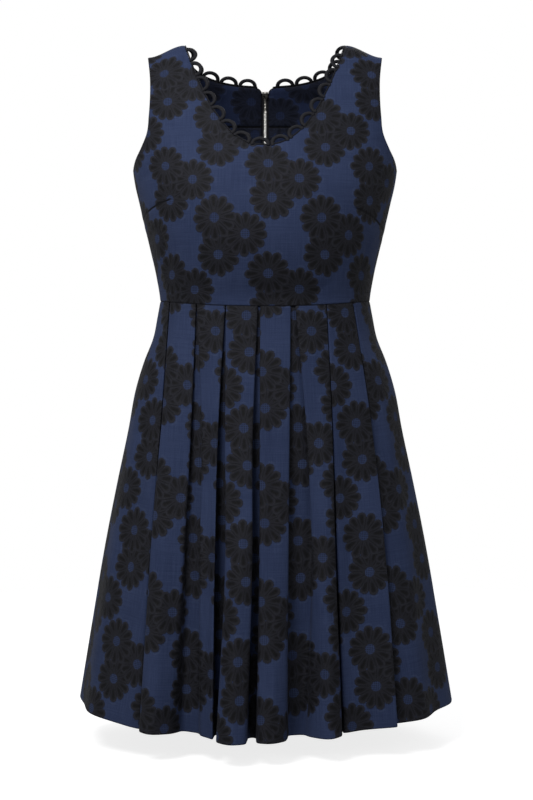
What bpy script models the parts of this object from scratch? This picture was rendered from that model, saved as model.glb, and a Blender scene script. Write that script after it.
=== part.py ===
"""Sleeveless a-line dress, worn form with no wearer, built as its cut pieces.

Units are metres, +Z is up, the front faces -Y and the wearer's left is +X. The origin
is midway between the shoulders, at the height of the neck ends of the shoulder seams.

The bodice is a surface of two numbers. An angle runs round the body, 0 at the centre
front or back and 90 degrees at the side. A rise runs from the front waist over the
shoulder ridge to the back waist: it is the signed square root of the drop below the
ridge, so the cloth turns over the shoulder in a smooth arch. The skirt is a stack of
rings, each a path from fold to fold along a half ring, set in by the pleats.
"""

import math

import bmesh
import bpy
import numpy as np
from mathutils import Vector

# Cloth
WALL = 0.0012
SEAM_GAP = 0.0003
FACING_WALL = 0.001
SHOULDER_GAP = 0.0022
BODICE_COLUMNS = 8
LOWER_ROWS = 8
UPPER_ROWS = 10
FACING_ROWS = 2
FACING_COLUMNS = 5
ROUNDNESS = 2.2

# Bodice
WAIST_DROP = 0.341
FRONT_WAIST_DIP = 0.009
BACK_WAIST_DIP = 0.006
UNDERARM_DROP = 0.169
NECK_HALF_WIDTH = 0.107
SHOULDER_HALF_WIDTH = 0.1558
SHOULDER_SLOPE = 0.016
SLOPE_FADE = 0.05
SEAM_RISE = -0.033
FRONT_NECK_DROP = 0.144
BACK_NECK_DROP = 0.046

# Skirt
SKIRT_LENGTH = 0.527
FRONT_HEM_DIP = 0.024
BACK_HEM_DIP = 0.010
FOLD_STACK = 0.0027
RETURN_CLEARANCE = 0.0002
UNDERLAY_STACK = 0.0034
WAIST_TUCK = 0.0125
DIP_GROWTH = 1.3
PANEL_STEPS = 1

# Neck loops
CORD_DIAMETER = 0.0038
LOOP_PITCH = 0.0264
LOOP_HEIGHT = 0.0115
LOOP_SWAY = 0.0009
LOOP_STEPS = 7
LOOP_END_GAP = 0.002
LOOP_ZIP_GAP = 0.009
FRONT_LOOP_SHIFT = -0.006
BACK_LOOP_SHIFTS = {"left": 0.026, "right": 0.0224}

# Zip
ZIP_TOP_DROP = 0.053
ZIP_LENGTH = 0.50
ZIP_OPENING = 0.0046
CHAIN_WIDTH = 0.0042
CHAIN_THICKNESS = 0.0022
CHAIN_INSET = 0.0014
TAPE_WALL = 0.001
TAPE_HALF_WIDTH = 0.012
TAPE_EDGE = 0.0024
TAPE_LEAN = 0.0004
CORNER_TURN = 0.006
CORNER_REACH = 0.0035
PLATE_WALL = 0.001
PLATE_TOP_HALF_WIDTH = 0.0042
PLATE_END_HALF_WIDTH = 0.0028
SLIDER_LENGTH = 0.009
BRIDGE_HALF_WIDTH = 0.0011
BRIDGE_HEIGHT = 0.003
PIVOT_ALONG = 0.004
PIVOT_OUT = 0.0034
TAB_LENGTH = 0.024
TAB_HALF_WIDTH = 0.0025
TAB_WALL = 0.001
TAB_EYE_HALF_WIDTH = 0.0015
TAB_EYE_LENGTH = 0.0043

# The form of the body under the bodice, by drop below the shoulder ridge.
FORM_COLUMNS = ("drop", "half_width", "front", "back")
FORM = (
    (0.000, 0.1780, 0.0000, 0.0000),
    (0.004, 0.1780, 0.0160, 0.0160),
    (0.016, 0.1778, 0.0300, 0.0320),
    (0.040, 0.1772, 0.0470, 0.0550),
    (0.070, 0.1768, 0.0640, 0.0750),
    (0.105, 0.1764, 0.0820, 0.0910),
    (0.141, 0.1760, 0.1000, 0.1010),
    (0.169, 0.1753, 0.1140, 0.1060),
    (0.187, 0.1726, 0.1215, 0.1075),
    (0.211, 0.1670, 0.1275, 0.1080),
    (0.239, 0.1605, 0.1310, 0.1065),
    (0.268, 0.1536, 0.1290, 0.1025),
    (0.310, 0.1441, 0.1180, 0.0965),
    (0.341, 0.1393, 0.1070, 0.0940),
    (0.365, 0.1390, 0.1065, 0.0940),
)

# The armhole's edge, by drop below the shoulder ridge.
ARMHOLE_COLUMNS = ("drop", "half_width")
ARMHOLE = (
    (0.000, 0.1558),
    (0.048, 0.1516),
    (0.096, 0.1526),
    (0.122, 0.1553),
    (0.141, 0.1633),
    (0.157, 0.1716),
    (0.169, 0.1753),
)

# The skirt's body, by share of its length.
SKIRT_COLUMNS = ("share", "half_width", "front", "back")
SKIRT = (
    (0.00, 0.1393, 0.1070, 0.0940),
    (0.04, 0.1432, 0.1095, 0.0980),
    (0.09, 0.1485, 0.1130, 0.1030),
    (0.15, 0.1608, 0.1180, 0.1090),
    (0.22, 0.1720, 0.1240, 0.1170),
    (0.32, 0.1818, 0.1320, 0.1260),
    (0.45, 0.1962, 0.1430, 0.1390),
    (0.60, 0.2118, 0.1560, 0.1550),
    (0.80, 0.2297, 0.1720, 0.1740),
    (1.00, 0.2469, 0.1850, 0.1900),
)

# Panels of the front, from the wearer's right to left: the x of both folds at four
# shares of the length, and how far points evenly spaced from the first fold to the
# second lie inside the body at the hem. A fold that is a seam is left out as None.
FOLD_SHARES = (0.0, 0.3, 0.6, 1.0)
FRONT_PANELS = (
    (None, (-0.126, -0.136, -0.147, -0.161), (0.000, 0.005, -0.001, 0.006, 0.010)),
    ((-0.124, -0.134, -0.146, -0.160), (-0.089, -0.096, -0.106, -0.123), (0.000, -0.004, 0.020)),
    ((-0.088, -0.083, -0.088, -0.089), (-0.051, -0.060, -0.064, -0.067), (0.030, 0.024, 0.014)),
    ((-0.050, -0.051, -0.051, -0.062), (-0.009, -0.015, -0.015, -0.023), (0.002, -0.010, -0.004)),
    ((-0.006, -0.007, -0.008, -0.011), (0.033, 0.032, 0.031, 0.028), (0.004, 0.000, 0.016)),
    ((0.039, 0.054, 0.062, 0.060), (0.079, 0.088, 0.094, 0.105), (0.034, 0.010, 0.022)),
    ((0.080, 0.089, 0.096, 0.108), (0.114, 0.140, 0.158, 0.175), (0.034, 0.030, 0.008)),
    ((0.115, 0.142, 0.160, 0.178), None, (0.026, 0.006, 0.009, -0.001, 0.000)),
)

# Panels of one back half, from the centre-back seam to the side seam. The other half
# has the same folds, moved a little at the hem.
BACK_PANELS = (
    (None, (0.031, 0.034, 0.038, 0.040), (0.000, -0.002, 0.012)),
    ((0.033, 0.046, 0.056, 0.066), (0.070, 0.079, 0.087, 0.098), (0.030, 0.006, 0.018)),
    ((0.071, 0.084, 0.096, 0.114), (0.108, 0.126, 0.140, 0.158), (0.026, 0.004, 0.010)),
    ((0.109, 0.132, 0.150, 0.170), None, (0.030, 0.004, 0.012, -0.001, 0.000)),
)
BACK_HEM_SHIFTS = {"left": 0.0, "right": 0.006}

# Pleats between neighbouring panels: how far the returns reach under the panels at the
# hem, where less than nothing opens the pleat, and the underlay's depth there.
PLEAT_COLUMNS = ("hem_tuck", "hem_depth")
FRONT_PLEATS = (
    (0.002, 0.026),
    (-0.004, 0.040),
    (0.002, 0.042),
    (-0.001, 0.034),
    (-0.004, 0.046),
    (0.004, 0.046),
    (0.004, 0.040),
)
BACK_PLEATS = (
    (-0.003, 0.042),
    (0.002, 0.040),
    (0.002, 0.042),
)

COLOURS = {
    "cloth": ((0.032, 0.052, 0.13), 0.8, 0.0),
    "facing": ((0.028, 0.045, 0.11), 0.85, 0.0),
    "cord": ((0.012, 0.013, 0.018), 0.6, 0.0),
    "tape": ((0.010, 0.011, 0.016), 0.8, 0.0),
    "metal": ((0.78, 0.76, 0.70), 0.3, 1.0),
}


# ---------------------------------------------------------------- numbers and curves


def column(table, columns, name):
    """One named column of a table."""
    return np.array([row[columns.index(name)] for row in table])


def smooth(knots, values, at):
    """A smooth curve through the values, by the slopes of a three-point parabola."""
    slopes = np.gradient(values, knots)
    index = np.clip(np.searchsorted(knots, at) - 1, 0, len(knots) - 2)
    span = knots[index + 1] - knots[index]
    part = np.clip((at - knots[index]) / span, 0.0, 1.0)
    start, end = values[index], values[index + 1]
    rise_in, rise_out = slopes[index] * span, slopes[index + 1] * span
    ease = part * part * (3 - 2 * part)
    return (
        start + (end - start) * ease
        + rise_in * part * (1 - part) ** 2
        - rise_out * part * part * (1 - part)
    )


def power(value, exponent):
    """A power that keeps the sign."""
    return np.sign(value) * np.abs(value) ** exponent


def ease(value):
    """0 to 1 with a smooth start and end."""
    value = np.clip(value, 0.0, 1.0)
    return value * value * (3 - 2 * value)


def across(angle):
    """The share of the half width at an angle round the body."""
    return power(np.sin(angle), 2 / ROUNDNESS)


def forward(angle):
    """The share of the depth at an angle round the body."""
    return power(np.cos(angle), 2 / ROUNDNESS)


def angle_of(share):
    """The angle at which the body reaches a share of its half width."""
    return np.arcsin(np.clip(share, 0.0, 1.0) ** (ROUNDNESS / 2))


def unit(vectors):
    """Vectors of length one."""
    return vectors / np.linalg.norm(vectors, axis=-1, keepdims=True)


def along(points):
    """Distance along a line of points."""
    steps = np.linalg.norm(np.diff(points, axis=0), axis=1)
    return np.concatenate(([0.0], np.cumsum(steps)))


# ---------------------------------------------------------------- bodice surface


def form(name, drop):
    """A column of the form table at a drop, with square-root spacing near the ridge."""
    knots = np.sqrt(column(FORM, FORM_COLUMNS, "drop"))
    return smooth(knots, column(FORM, FORM_COLUMNS, name), np.sqrt(drop))


def torso(angle, rise):
    """The point of the bodice surface at an angle and a rise."""
    drop = rise * rise
    x = form("half_width", drop) * across(angle)
    depth = np.where(rise < 0, -form("front", drop), form("back", drop))
    slope = -SHOULDER_SLOPE * ease(
        (np.abs(x) - NECK_HALF_WIDTH) / (SHOULDER_HALF_WIDTH - NECK_HALF_WIDTH)
    )
    z = slope * np.exp(-drop / SLOPE_FADE) - drop
    return np.stack([x, depth * forward(angle), z], axis=-1)


def torso_normal(angle, rise, step=0.001):
    """The outward direction of the bodice surface."""
    round_body = torso(angle + step, rise) - torso(angle - step, rise)
    over_shoulder = torso(angle, rise + step) - torso(angle, rise - step)
    return unit(np.cross(round_body, over_shoulder))


def side_angle(drop, facing):
    """The angle of the armhole's edge, or of the side seam below the underarm."""
    depth = np.maximum(form(facing, drop), WALL)
    seam = np.arccos((SEAM_GAP / 2 / depth) ** (ROUNDNESS / 2))
    knots = column(ARMHOLE, ARMHOLE_COLUMNS, "drop")
    edge = smooth(knots, column(ARMHOLE, ARMHOLE_COLUMNS, "half_width"), drop)
    armhole = angle_of(edge / form("half_width", drop))
    return np.where(drop < UNDERARM_DROP, np.minimum(armhole, seam), seam)


def front_neck_drop(x):
    """The front neckline's drop at a distance from the centre."""
    return FRONT_NECK_DROP * (1 - (x / NECK_HALF_WIDTH) ** 2.3)


def back_neck_drop(x):
    """The back neckline's drop, with its corner turned down beside the zip."""
    side = np.clip(x / NECK_HALF_WIDTH, 0, 1)
    curve = BACK_NECK_DROP * (1 - side ** 2.45) ** (1 / 2.45)
    return curve + CORNER_TURN * np.exp(-np.maximum(x - ZIP_OPENING, 0) / CORNER_REACH)


def neckline(facing):
    """Angles and rises along half a neckline, from the centre to the shoulder seam."""
    turn = np.linspace(0, math.pi / 2, 160)
    if facing == "front":
        x = NECK_HALF_WIDTH * np.sin(turn)
        rise = -np.sqrt(np.maximum(front_neck_drop(x), 0))
        keep = rise < SEAM_RISE - SHOULDER_GAP / 2
        x, rise = x[keep], rise[keep]
        x, rise = np.append(x, NECK_HALF_WIDTH), np.append(rise, SEAM_RISE - SHOULDER_GAP / 2)
    else:
        x = ZIP_OPENING + (NECK_HALF_WIDTH - ZIP_OPENING) * np.sin(turn)
        rise = np.sqrt(np.maximum(back_neck_drop(x), 0))
        over = np.linspace(0, SEAM_RISE + SHOULDER_GAP / 2, 8)[1:]
        x, rise = np.append(x, np.full(7, NECK_HALF_WIDTH)), np.append(rise, over)
    return angle_of(x / form("half_width", rise * rise)), rise


def resample(angles, rises, count):
    """The same line on the surface as evenly spaced steps."""
    length = along(torso(angles, rises))
    stops = np.linspace(0, length[-1], count + 1)
    return np.interp(stops, length, angles), np.interp(stops, length, rises)


def edge_line(lower, upper):
    """A patch's edge as even steps: the angles and rises of its two stretches in turn."""
    low = resample(*lower, LOWER_ROWS)
    high = resample(*upper, UPPER_ROWS)
    return [np.concatenate([first, second[1:]]) for first, second in zip(low, high)]


def inner_edge(facing):
    """A half panel's centre line and neckline, from the waist to the shoulder seam."""
    sign, dip, opening = {
        "front": (-1.0, FRONT_WAIST_DIP, 0.0),
        "back": (1.0, BACK_WAIST_DIP, ZIP_OPENING),
    }[facing]
    neck = neckline(facing)
    drops = np.linspace(WAIST_DROP + dip, neck[1][0] ** 2, 60)
    return edge_line((angle_of(opening / form("half_width", drops)), sign * np.sqrt(drops)), neck)


def outer_edge(facing):
    """A half panel's side seam and armhole, from the waist to the shoulder seam."""
    sign = -1.0 if facing == "front" else 1.0
    seam_rise = SEAM_RISE + sign * SHOULDER_GAP / 2
    below = np.linspace(WAIST_DROP, UNDERARM_DROP, 60)
    above = np.linspace(math.sqrt(UNDERARM_DROP), 0.0, 120) ** 2
    angles, rises = side_angle(above, facing), sign * np.sqrt(above)
    if facing == "front":
        keep = rises < seam_rise
        angles, rises = angles[keep], rises[keep]
        over = np.array([seam_rise])
    else:
        over = np.linspace(0, seam_rise, 8)[1:]
    tip = angle_of(SHOULDER_HALF_WIDTH / form("half_width", 0.0))
    armhole = np.append(angles, np.full(len(over), tip)), np.append(rises, over)
    return edge_line((side_angle(below, facing), sign * np.sqrt(below)), armhole)


def bodice_patch(facing):
    """Angles and rises of half a bodice panel, rows upwards, columns from side to centre."""
    sign, dip = (-1.0, FRONT_WAIST_DIP) if facing == "front" else (1.0, BACK_WAIST_DIP)
    inner, outer = inner_edge(facing), outer_edge(facing)
    columns, rows = BODICE_COLUMNS, LOWER_ROWS + UPPER_ROWS
    share = np.linspace(0, 1, columns + 1)
    low_angles = outer[0][0] + (inner[0][0] - outer[0][0]) * share
    low_rises = sign * np.sqrt(WAIST_DROP + dip * forward(low_angles) ** 2)
    low_rises[0], low_rises[-1] = outer[1][0], inner[1][0]
    top_angles = outer[0][-1] + (inner[0][-1] - outer[0][-1]) * share
    top_rises = np.full(columns + 1, inner[1][-1])
    climb = np.linspace(0, 1, rows + 1)[:, None]
    grid = []
    for left, right, low, top in (
        (outer[0], inner[0], low_angles, top_angles),
        (outer[1], inner[1], low_rises, top_rises),
    ):
        sides = (1 - share) * left[:, None] + share * right[:, None]
        ends = (1 - climb) * low + climb * top
        corners = (1 - climb) * ((1 - share) * left[0] + share * right[0])
        corners = corners + climb * ((1 - share) * left[-1] + share * right[-1])
        grid.append(sides + ends - corners)
    return grid


# ---------------------------------------------------------------- skirt rings


class Ring:
    """Half of the skirt's body at one share of its length, front or back."""

    def __init__(self, facing, share):
        """Sample the half ring from the wearer's right side seam to the left one."""
        knots = column(SKIRT, SKIRT_COLUMNS, "share")
        self.half_width = smooth(knots, column(SKIRT, SKIRT_COLUMNS, "half_width"), share)
        self.depth = smooth(knots, column(SKIRT, SKIRT_COLUMNS, facing), share)
        self.share = share
        self.sign = -1.0 if facing == "front" else 1.0
        self.waist_dip, self.hem_dip = {
            "front": (FRONT_WAIST_DIP, FRONT_HEM_DIP),
            "back": (BACK_WAIST_DIP, BACK_HEM_DIP),
        }[facing]
        seam = math.acos((SEAM_GAP / 2 / self.depth) ** (ROUNDNESS / 2))
        angles = np.linspace(-seam, seam, 721)
        self.x = self.half_width * across(angles)
        self.y = self.sign * self.depth * forward(angles)
        self.length = along(np.stack([self.x, self.y], axis=1))
        self.length = self.length - self.length[-1] / 2

    def place(self, x):
        """Distance along the ring from its middle to the point at x."""
        return np.interp(x, self.x, self.length)

    def point(self, distance, inset):
        """The plan point at a distance along the ring, set in from it."""
        near = np.clip([distance - 0.002, distance + 0.002], self.length[0], self.length[-1])
        x, y = np.interp(near, self.length, self.x), np.interp(near, self.length, self.y)
        outward = unit(np.array([y[0] - y[1], x[1] - x[0]])) * self.sign
        if abs(distance) > self.length[-1] - SEAM_GAP:
            outward = np.array([math.copysign(1.0, distance), 0.0])
        here = [np.interp(distance, self.length, line) for line in (self.x, self.y)]
        return np.array(here) - outward * inset

    def height(self, distance):
        """The height of a point of the ring: waist and hem both dip towards the centre."""
        lean = (np.interp(distance, self.length, self.y) / self.depth) ** 2
        waist = -WAIST_DROP - SEAM_GAP - self.waist_dip * lean
        hem = -WAIST_DROP - SKIRT_LENGTH - self.hem_dip * lean
        return waist + (hem - waist) * self.share


def panel_ends(ring, panel, first, last):
    """Distances along the ring of a panel's two ends."""
    ends = []
    for folds, open_end in ((panel[0], first), (panel[1], last)):
        if folds is None:
            ends.append(open_end)
        else:
            ends.append(ring.place(smooth(np.array(FOLD_SHARES), np.array(folds), ring.share)))
    return ends


def panel_inset(panel, part, share):
    """How far inside the body a panel lies, at a part of its width."""
    insets = np.array(panel[2])
    return smooth(np.linspace(0, 1, len(insets)), insets, part) * share ** DIP_GROWTH


def skirt_path(ring, panels, pleats, first, last):
    """Points of one ring of a skirt piece, panel by panel, with the pleats between."""
    share = ring.share
    ends = [panel_ends(ring, panel, first, last) for panel in panels]
    path = []
    for number, (panel, (start, end)) in enumerate(zip(panels, ends)):
        for part in np.linspace(0, 1, PANEL_STEPS + len(panel[2])):
            path.append((start + (end - start) * part, panel_inset(panel, part, share)))
        if number == len(pleats):
            continue
        hem_tuck, hem_depth = pleats[number]
        tuck = WAIST_TUCK + (hem_tuck - WAIST_TUCK) * share
        following, (next_start, next_end) = panels[number + 1], ends[number + 1]
        here = panel_inset(panel, 1, share)
        there = panel_inset(following, 0, share)
        part_here = 1 - max(tuck, 0) / (end - start)
        part_there = max(tuck, 0) / (next_end - next_start)
        back_here = max(here, panel_inset(panel, part_here, share)) + FOLD_STACK
        back_there = max(there, panel_inset(following, part_there, share)) + FOLD_STACK
        floor = max(back_here, back_there) + UNDERLAY_STACK - FOLD_STACK
        depth = floor + max(hem_depth - max(panel[2][-1], following[2][0]), 0) * share
        drop_here = (depth - back_here) * 0.6 * share + RETURN_CLEARANCE
        drop_there = (depth - back_there) * 0.6 * share + RETURN_CLEARANCE
        middle = (end + next_start) / 2
        path += [
            (end, here + FOLD_STACK),
            (end - tuck, back_here + drop_here),
            (end - tuck, depth),
            (middle, depth),
            (next_start + tuck, depth),
            (next_start + tuck, back_there + drop_there),
            (next_start, there + FOLD_STACK),
        ]
    return path


def offset_path(points, wall):
    """The plan path moved in by the wall, with square corners at the folds."""
    edges = np.diff(points, axis=0)
    normals = unit(np.stack([edges[:, 1], -edges[:, 0]], axis=1))
    before = np.vstack([normals[:1], normals])
    after = np.vstack([normals, normals[-1:]])
    bend = 1 + np.sum(before * after, axis=1, keepdims=True)
    return points - (before + after) / np.maximum(bend, 0.35) * wall


def skirt_grid(facing, panels, pleats, first_x=None):
    """Outer and inner points of a skirt piece, ring by ring from waist to hem."""
    outer, inner = [], []
    for share in column(SKIRT, SKIRT_COLUMNS, "share"):
        ring = Ring(facing, share)
        first = ring.length[0] if first_x is None else ring.place(first_x(share))
        path = skirt_path(ring, panels, pleats, first, ring.length[-1])
        points = np.array([ring.point(distance, inset) for distance, inset in path])
        walled = offset_path(points if facing == "front" else points[::-1], WALL)
        walled = walled if facing == "front" else walled[::-1]
        for end in (0, -1):
            level = 0 if abs(points[end, 0]) < ring.half_width / 2 else 1
            walled[end, level] = points[end, level]
        heights = np.array([[ring.height(distance)] for distance, _ in path])
        outer.append(np.hstack([points, heights]))
        inner.append(np.hstack([walled, heights]))
    return np.array(outer), np.array(inner)


# ---------------------------------------------------------------- meshes


def material(name):
    """The Principled material of a finish."""
    found = bpy.data.materials.get(name)
    if found:
        return found
    colour, roughness, metallic = COLOURS[name]
    made = bpy.data.materials.new(name)
    made.use_nodes = True
    shader = made.node_tree.nodes["Principled BSDF"]
    shader.inputs["Base Color"].default_value = (*colour, 1.0)
    shader.inputs["Roughness"].default_value = roughness
    shader.inputs["Metallic"].default_value = metallic
    return made


def add_object(name, mesh, finish):
    """Put a mesh in the scene under its name, with its finish."""
    mesh.materials.append(material(finish))
    made = bpy.data.objects.new(name, mesh)
    bpy.context.scene.collection.objects.link(made)
    return made


def add_wall(name, grids, finish):
    """One closed wall from grids of outer and inner points, welded where they meet."""
    builder = bmesh.new()
    known = {}

    def vertex(point):
        key = tuple(np.round(point, 6))
        if key not in known:
            known[key] = builder.verts.new(point)
        return known[key]

    borders = {}
    for outer, inner in grids:
        rows, columns = outer.shape[:2]
        for row in range(rows - 1):
            for col in range(columns - 1):
                corners = ((row, col), (row, col + 1), (row + 1, col + 1), (row + 1, col))
                pairs = [(vertex(outer[at]), vertex(inner[at])) for at in corners]
                for side in (0, 1):
                    ring = list(dict.fromkeys(pair[side] for pair in pairs))
                    if len(ring) > 2:
                        builder.faces.new(ring if side == 0 else ring[::-1])
                for a, b in zip(pairs, pairs[1:] + pairs[:1]):
                    if a[0] is not b[0]:
                        borders.setdefault(frozenset((a[0], b[0])), []).append((a, b))
    for uses in borders.values():
        if len(uses) == 1:
            a, b = uses[0]
            builder.faces.new((b[0], a[0], a[1], b[1]))
    bmesh.ops.recalc_face_normals(builder, faces=builder.faces)
    mesh = bpy.data.meshes.new(name)
    builder.to_mesh(mesh)
    builder.free()
    return add_object(name, mesh, finish)


def add_sweep(name, sections, finish):
    """One closed body through rings of equal point counts, with flat ends."""
    builder = bmesh.new()
    rings = [[builder.verts.new(point) for point in section] for section in sections]
    for low, high in zip(rings, rings[1:]):
        for a, b, c, d in zip(low, low[1:] + low[:1], high[1:] + high[:1], high):
            builder.faces.new((a, b, c, d))
    builder.faces.new(rings[0][::-1])
    builder.faces.new(rings[-1])
    bmesh.ops.recalc_face_normals(builder, faces=builder.faces)
    mesh = bpy.data.meshes.new(name)
    builder.to_mesh(mesh)
    builder.free()
    return add_object(name, mesh, finish)


# ---------------------------------------------------------------- sub-parts


def torso_grid(angles, rises, inset, wall):
    """Outer and inner points of a patch of the bodice, set in from the surface."""
    points, normals = torso(angles, rises), torso_normal(angles, rises)
    inset = np.broadcast_to(inset, angles.shape)[..., None]
    return points - normals * inset, points - normals * (inset + wall)


def build_bodice():
    """The front bodice in one piece, and the back bodice in halves beside the zip."""
    angles, rises = bodice_patch("front")
    halves = [torso_grid(side * angles, rises, 0.0, WALL) for side in (-1, 1)]
    add_wall("front_bodice", halves, "cloth")
    angles, rises = bodice_patch("back")
    for name, side in (("left", 1), ("right", -1)):
        add_wall("back_bodice_" + name, [torso_grid(side * angles, rises, 0.0, WALL)], "cloth")


def build_facing():
    """The back neck facing: the neck side of the back bodice's own points, moved in."""
    angles, rises = bodice_patch("back")
    start = LOWER_ROWS - FACING_ROWS
    angles, rises = angles[start:, -FACING_COLUMNS:], rises[start:, -FACING_COLUMNS:]
    inset = np.full(FACING_COLUMNS, WALL + SEAM_GAP)
    inset[-2:] += TAPE_WALL + SEAM_GAP + TAPE_LEAN / 2
    for name, side in (("left", 1), ("right", -1)):
        grid = torso_grid(side * angles, rises, inset, FACING_WALL)
        add_wall("back_facing_" + name, [grid], "facing")


def build_skirt():
    """The pleated front skirt, and the pleated back skirt in halves."""
    outer, inner = skirt_grid("front", FRONT_PANELS, FRONT_PLEATS)
    add_wall("front_skirt", [(outer, inner)], "cloth")
    zip_share = (ZIP_TOP_DROP + ZIP_LENGTH - WAIST_DROP) / SKIRT_LENGTH

    def centre_edge(share):
        closing = ease((share - zip_share) / 0.06)
        return ZIP_OPENING + (SEAM_GAP / 2 - ZIP_OPENING) * closing

    for name, side in (("left", 1), ("right", -1)):
        shift = BACK_HEM_SHIFTS[name]
        panels = []
        for left, right, insets in BACK_PANELS:
            folds = [
                None if edge is None else tuple(
                    x + shift * share for x, share in zip(edge, FOLD_SHARES)
                )
                for edge in (left, right)
            ]
            panels.append((folds[0], folds[1], insets))
        outer, inner = skirt_grid("back", panels, BACK_PLEATS, centre_edge)
        mirror = np.array([side, 1.0, 1.0])
        add_wall("back_skirt_" + name, [(outer * mirror, inner * mirror)], "cloth")


def loop_path(facing, shift, first, last):
    """The loop cord's centre line: a wave that stands on the neck edge."""
    angles, rises = [line[LOWER_ROWS:] for line in inner_edge(facing)]
    if facing == "front":
        angles = np.concatenate([-angles[:0:-1], angles])
        rises = np.concatenate([rises[:0:-1], rises])
    normals = torso_normal(angles, rises)
    edge = torso(angles, rises) - normals * WALL / 2
    tangents = unit(np.gradient(edge, axis=0))
    away = unit(np.cross(tangents, normals))
    inward = np.stack([-edge[:, 0], np.zeros(len(edge)), 0.05 - edge[:, 2]], axis=1)
    away = away * np.sign(np.sum(away * inward, axis=1))[:, None]
    length = along(edge)
    middle = length[-1] / 2 if facing == "front" else 0.0
    length = length - middle
    first, last = length[0] + first, length[-1] - last
    count = int(round((last - first) / LOOP_PITCH * LOOP_STEPS))
    radius = CORD_DIAMETER / 2
    rise = (LOOP_HEIGHT - CORD_DIAMETER) / 2
    path = []
    for base in np.linspace(first, last, count + 1):
        phase = 2 * math.pi * (base - shift) / LOOP_PITCH + math.pi
        at = np.clip(base - LOOP_SWAY * math.sin(phase), first, last)
        up = radius + SEAM_GAP + rise * (1 - math.cos(phase))
        here = [np.interp(at, length, edge[:, axis]) for axis in range(3)]
        lift = [np.interp(at, length, away[:, axis]) for axis in range(3)]
        path.append(np.array(here) + np.array(lift) * up)
    return np.array(path)


def tube_sections(path, radius, sides):
    """Round sections square to a path, carried along it without twist."""
    tangents = unit(np.gradient(path, axis=0))
    across_path = Vector(tangents[0]).orthogonal().normalized()
    sections = []
    for centre, tangent in zip(path, tangents):
        direction = Vector(tangent)
        across_path = (across_path - direction * across_path.dot(direction)).normalized()
        other = direction.cross(across_path)
        turns = [2 * math.pi * side / sides for side in range(sides)]
        sections.append([
            Vector(centre) + (across_path * math.cos(turn) + other * math.sin(turn)) * radius
            for turn in turns
        ])
    return sections


def build_loops():
    """Rows of cord loops round the neck, parted at the shoulder seams and the zip."""
    radius = CORD_DIAMETER / 2
    path = loop_path("front", FRONT_LOOP_SHIFT, LOOP_END_GAP, LOOP_END_GAP)
    add_sweep("neck_loops_front", tube_sections(path, radius, 6), "cord")
    for name, side in (("left", 1), ("right", -1)):
        path = loop_path("back", BACK_LOOP_SHIFTS[name], LOOP_ZIP_GAP, LOOP_END_GAP)
        path = path * np.array([side, 1.0, 1.0])
        add_sweep("neck_loops_back_" + name, tube_sections(path, radius, 6), "cord")


def zip_line():
    """The centre-back line of the cloth from the zip's top down: points and directions."""
    drops = inner_edge("back")[1][LOWER_ROWS::-1] ** 2
    drops = np.append(ZIP_TOP_DROP, drops[drops > ZIP_TOP_DROP])
    upper = np.stack([form("back", drops), -drops], axis=1)
    shares = column(SKIRT, SKIRT_COLUMNS, "share")[1:]
    rings = [Ring("back", share) for share in shares]
    lower = np.array([[ring.depth, ring.height(0.0)] for ring in rings])
    line = np.vstack([upper, lower])
    length = along(line)
    stops = np.append(length[length < ZIP_LENGTH], ZIP_LENGTH)
    y, z = np.interp(stops, length, line[:, 0]), np.interp(stops, length, line[:, 1])
    points = np.stack([np.zeros(len(stops)), y, z], axis=1)
    downs = unit(np.gradient(points, axis=0))
    outs = np.stack([np.zeros(len(stops)), -downs[:, 2], downs[:, 1]], axis=1)
    return points, downs, outs


def strip_sections(points, outs, low_x, high_x, inset, wall, lean=0.0):
    """Square sections of a strip along the zip line, its far edge leaning inwards."""
    sections = []
    far = inset + lean
    for point, out in zip(points, outs):
        corners = ((low_x, inset), (high_x, far), (high_x, far + wall), (low_x, inset + wall))
        sections.append([
            Vector(point - out * depth) + Vector((x, 0.0, 0.0)) for x, depth in corners
        ])
    return sections


def build_zip():
    """Zip tapes, chain and bottom stop along the centre back."""
    points, downs, outs = zip_line()
    tape_top = WALL + SEAM_GAP
    for name, side in (("left", 1), ("right", -1)):
        sections = strip_sections(
            points, outs, side * TAPE_EDGE, side * TAPE_HALF_WIDTH, tape_top, TAPE_WALL, TAPE_LEAN
        )
        add_sweep("zip_tape_" + name, sections, "tape")
    half = CHAIN_WIDTH / 2
    chain_start = points[0] + downs[0] * 0.0022
    chain_end = points[-2] + (points[-1] - points[-2]) * 0.5
    chain_points = np.vstack([chain_start, points[1:-1], chain_end])
    sections = strip_sections(
        chain_points, outs, -half, half, CHAIN_INSET - CHAIN_THICKNESS / 2, CHAIN_THICKNESS
    )
    add_sweep("zip_chain", sections, "metal")
    stop_points = np.array([chain_end + downs[-1] * reach for reach in (SEAM_GAP, 0.0035)])
    sections = strip_sections(
        stop_points, outs[-2:], -half, half, CHAIN_INSET - CHAIN_THICKNESS / 2, CHAIN_THICKNESS
    )
    add_sweep("zip_stop", sections, "metal")


def slider_frame():
    """Origin, downward and outward directions of the slider on the zip's top end."""
    points, downs, outs = zip_line()
    origin = points[0] - outs[0] * CHAIN_INSET
    return origin, downs[0], outs[0]


def slider_block(name, finish, downs, outs, half_top, half_end):
    """A block in the slider's frame, between two downs and two outs, tapering in x."""
    origin, down, out = slider_frame()
    sections = []
    for reach, half in zip(downs, (half_top, half_end)):
        corners = ((-half, outs[0]), (half, outs[0]), (half, outs[1]), (-half, outs[1]))
        sections.append([
            Vector(origin + down * reach + out * level) + Vector((x, 0.0, 0.0))
            for x, level in corners
        ])
    return add_sweep(name, sections, finish)


def join_blocks(body, blocks):
    """Unite blocks with a body, leaving each as a hidden guide."""
    for block in blocks:
        block.hide_render = True
        block.display_type = "WIRE"
        union = body.modifiers.new(block.name, "BOOLEAN")
        union.operation = "UNION"
        union.object = block
    return body


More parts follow.
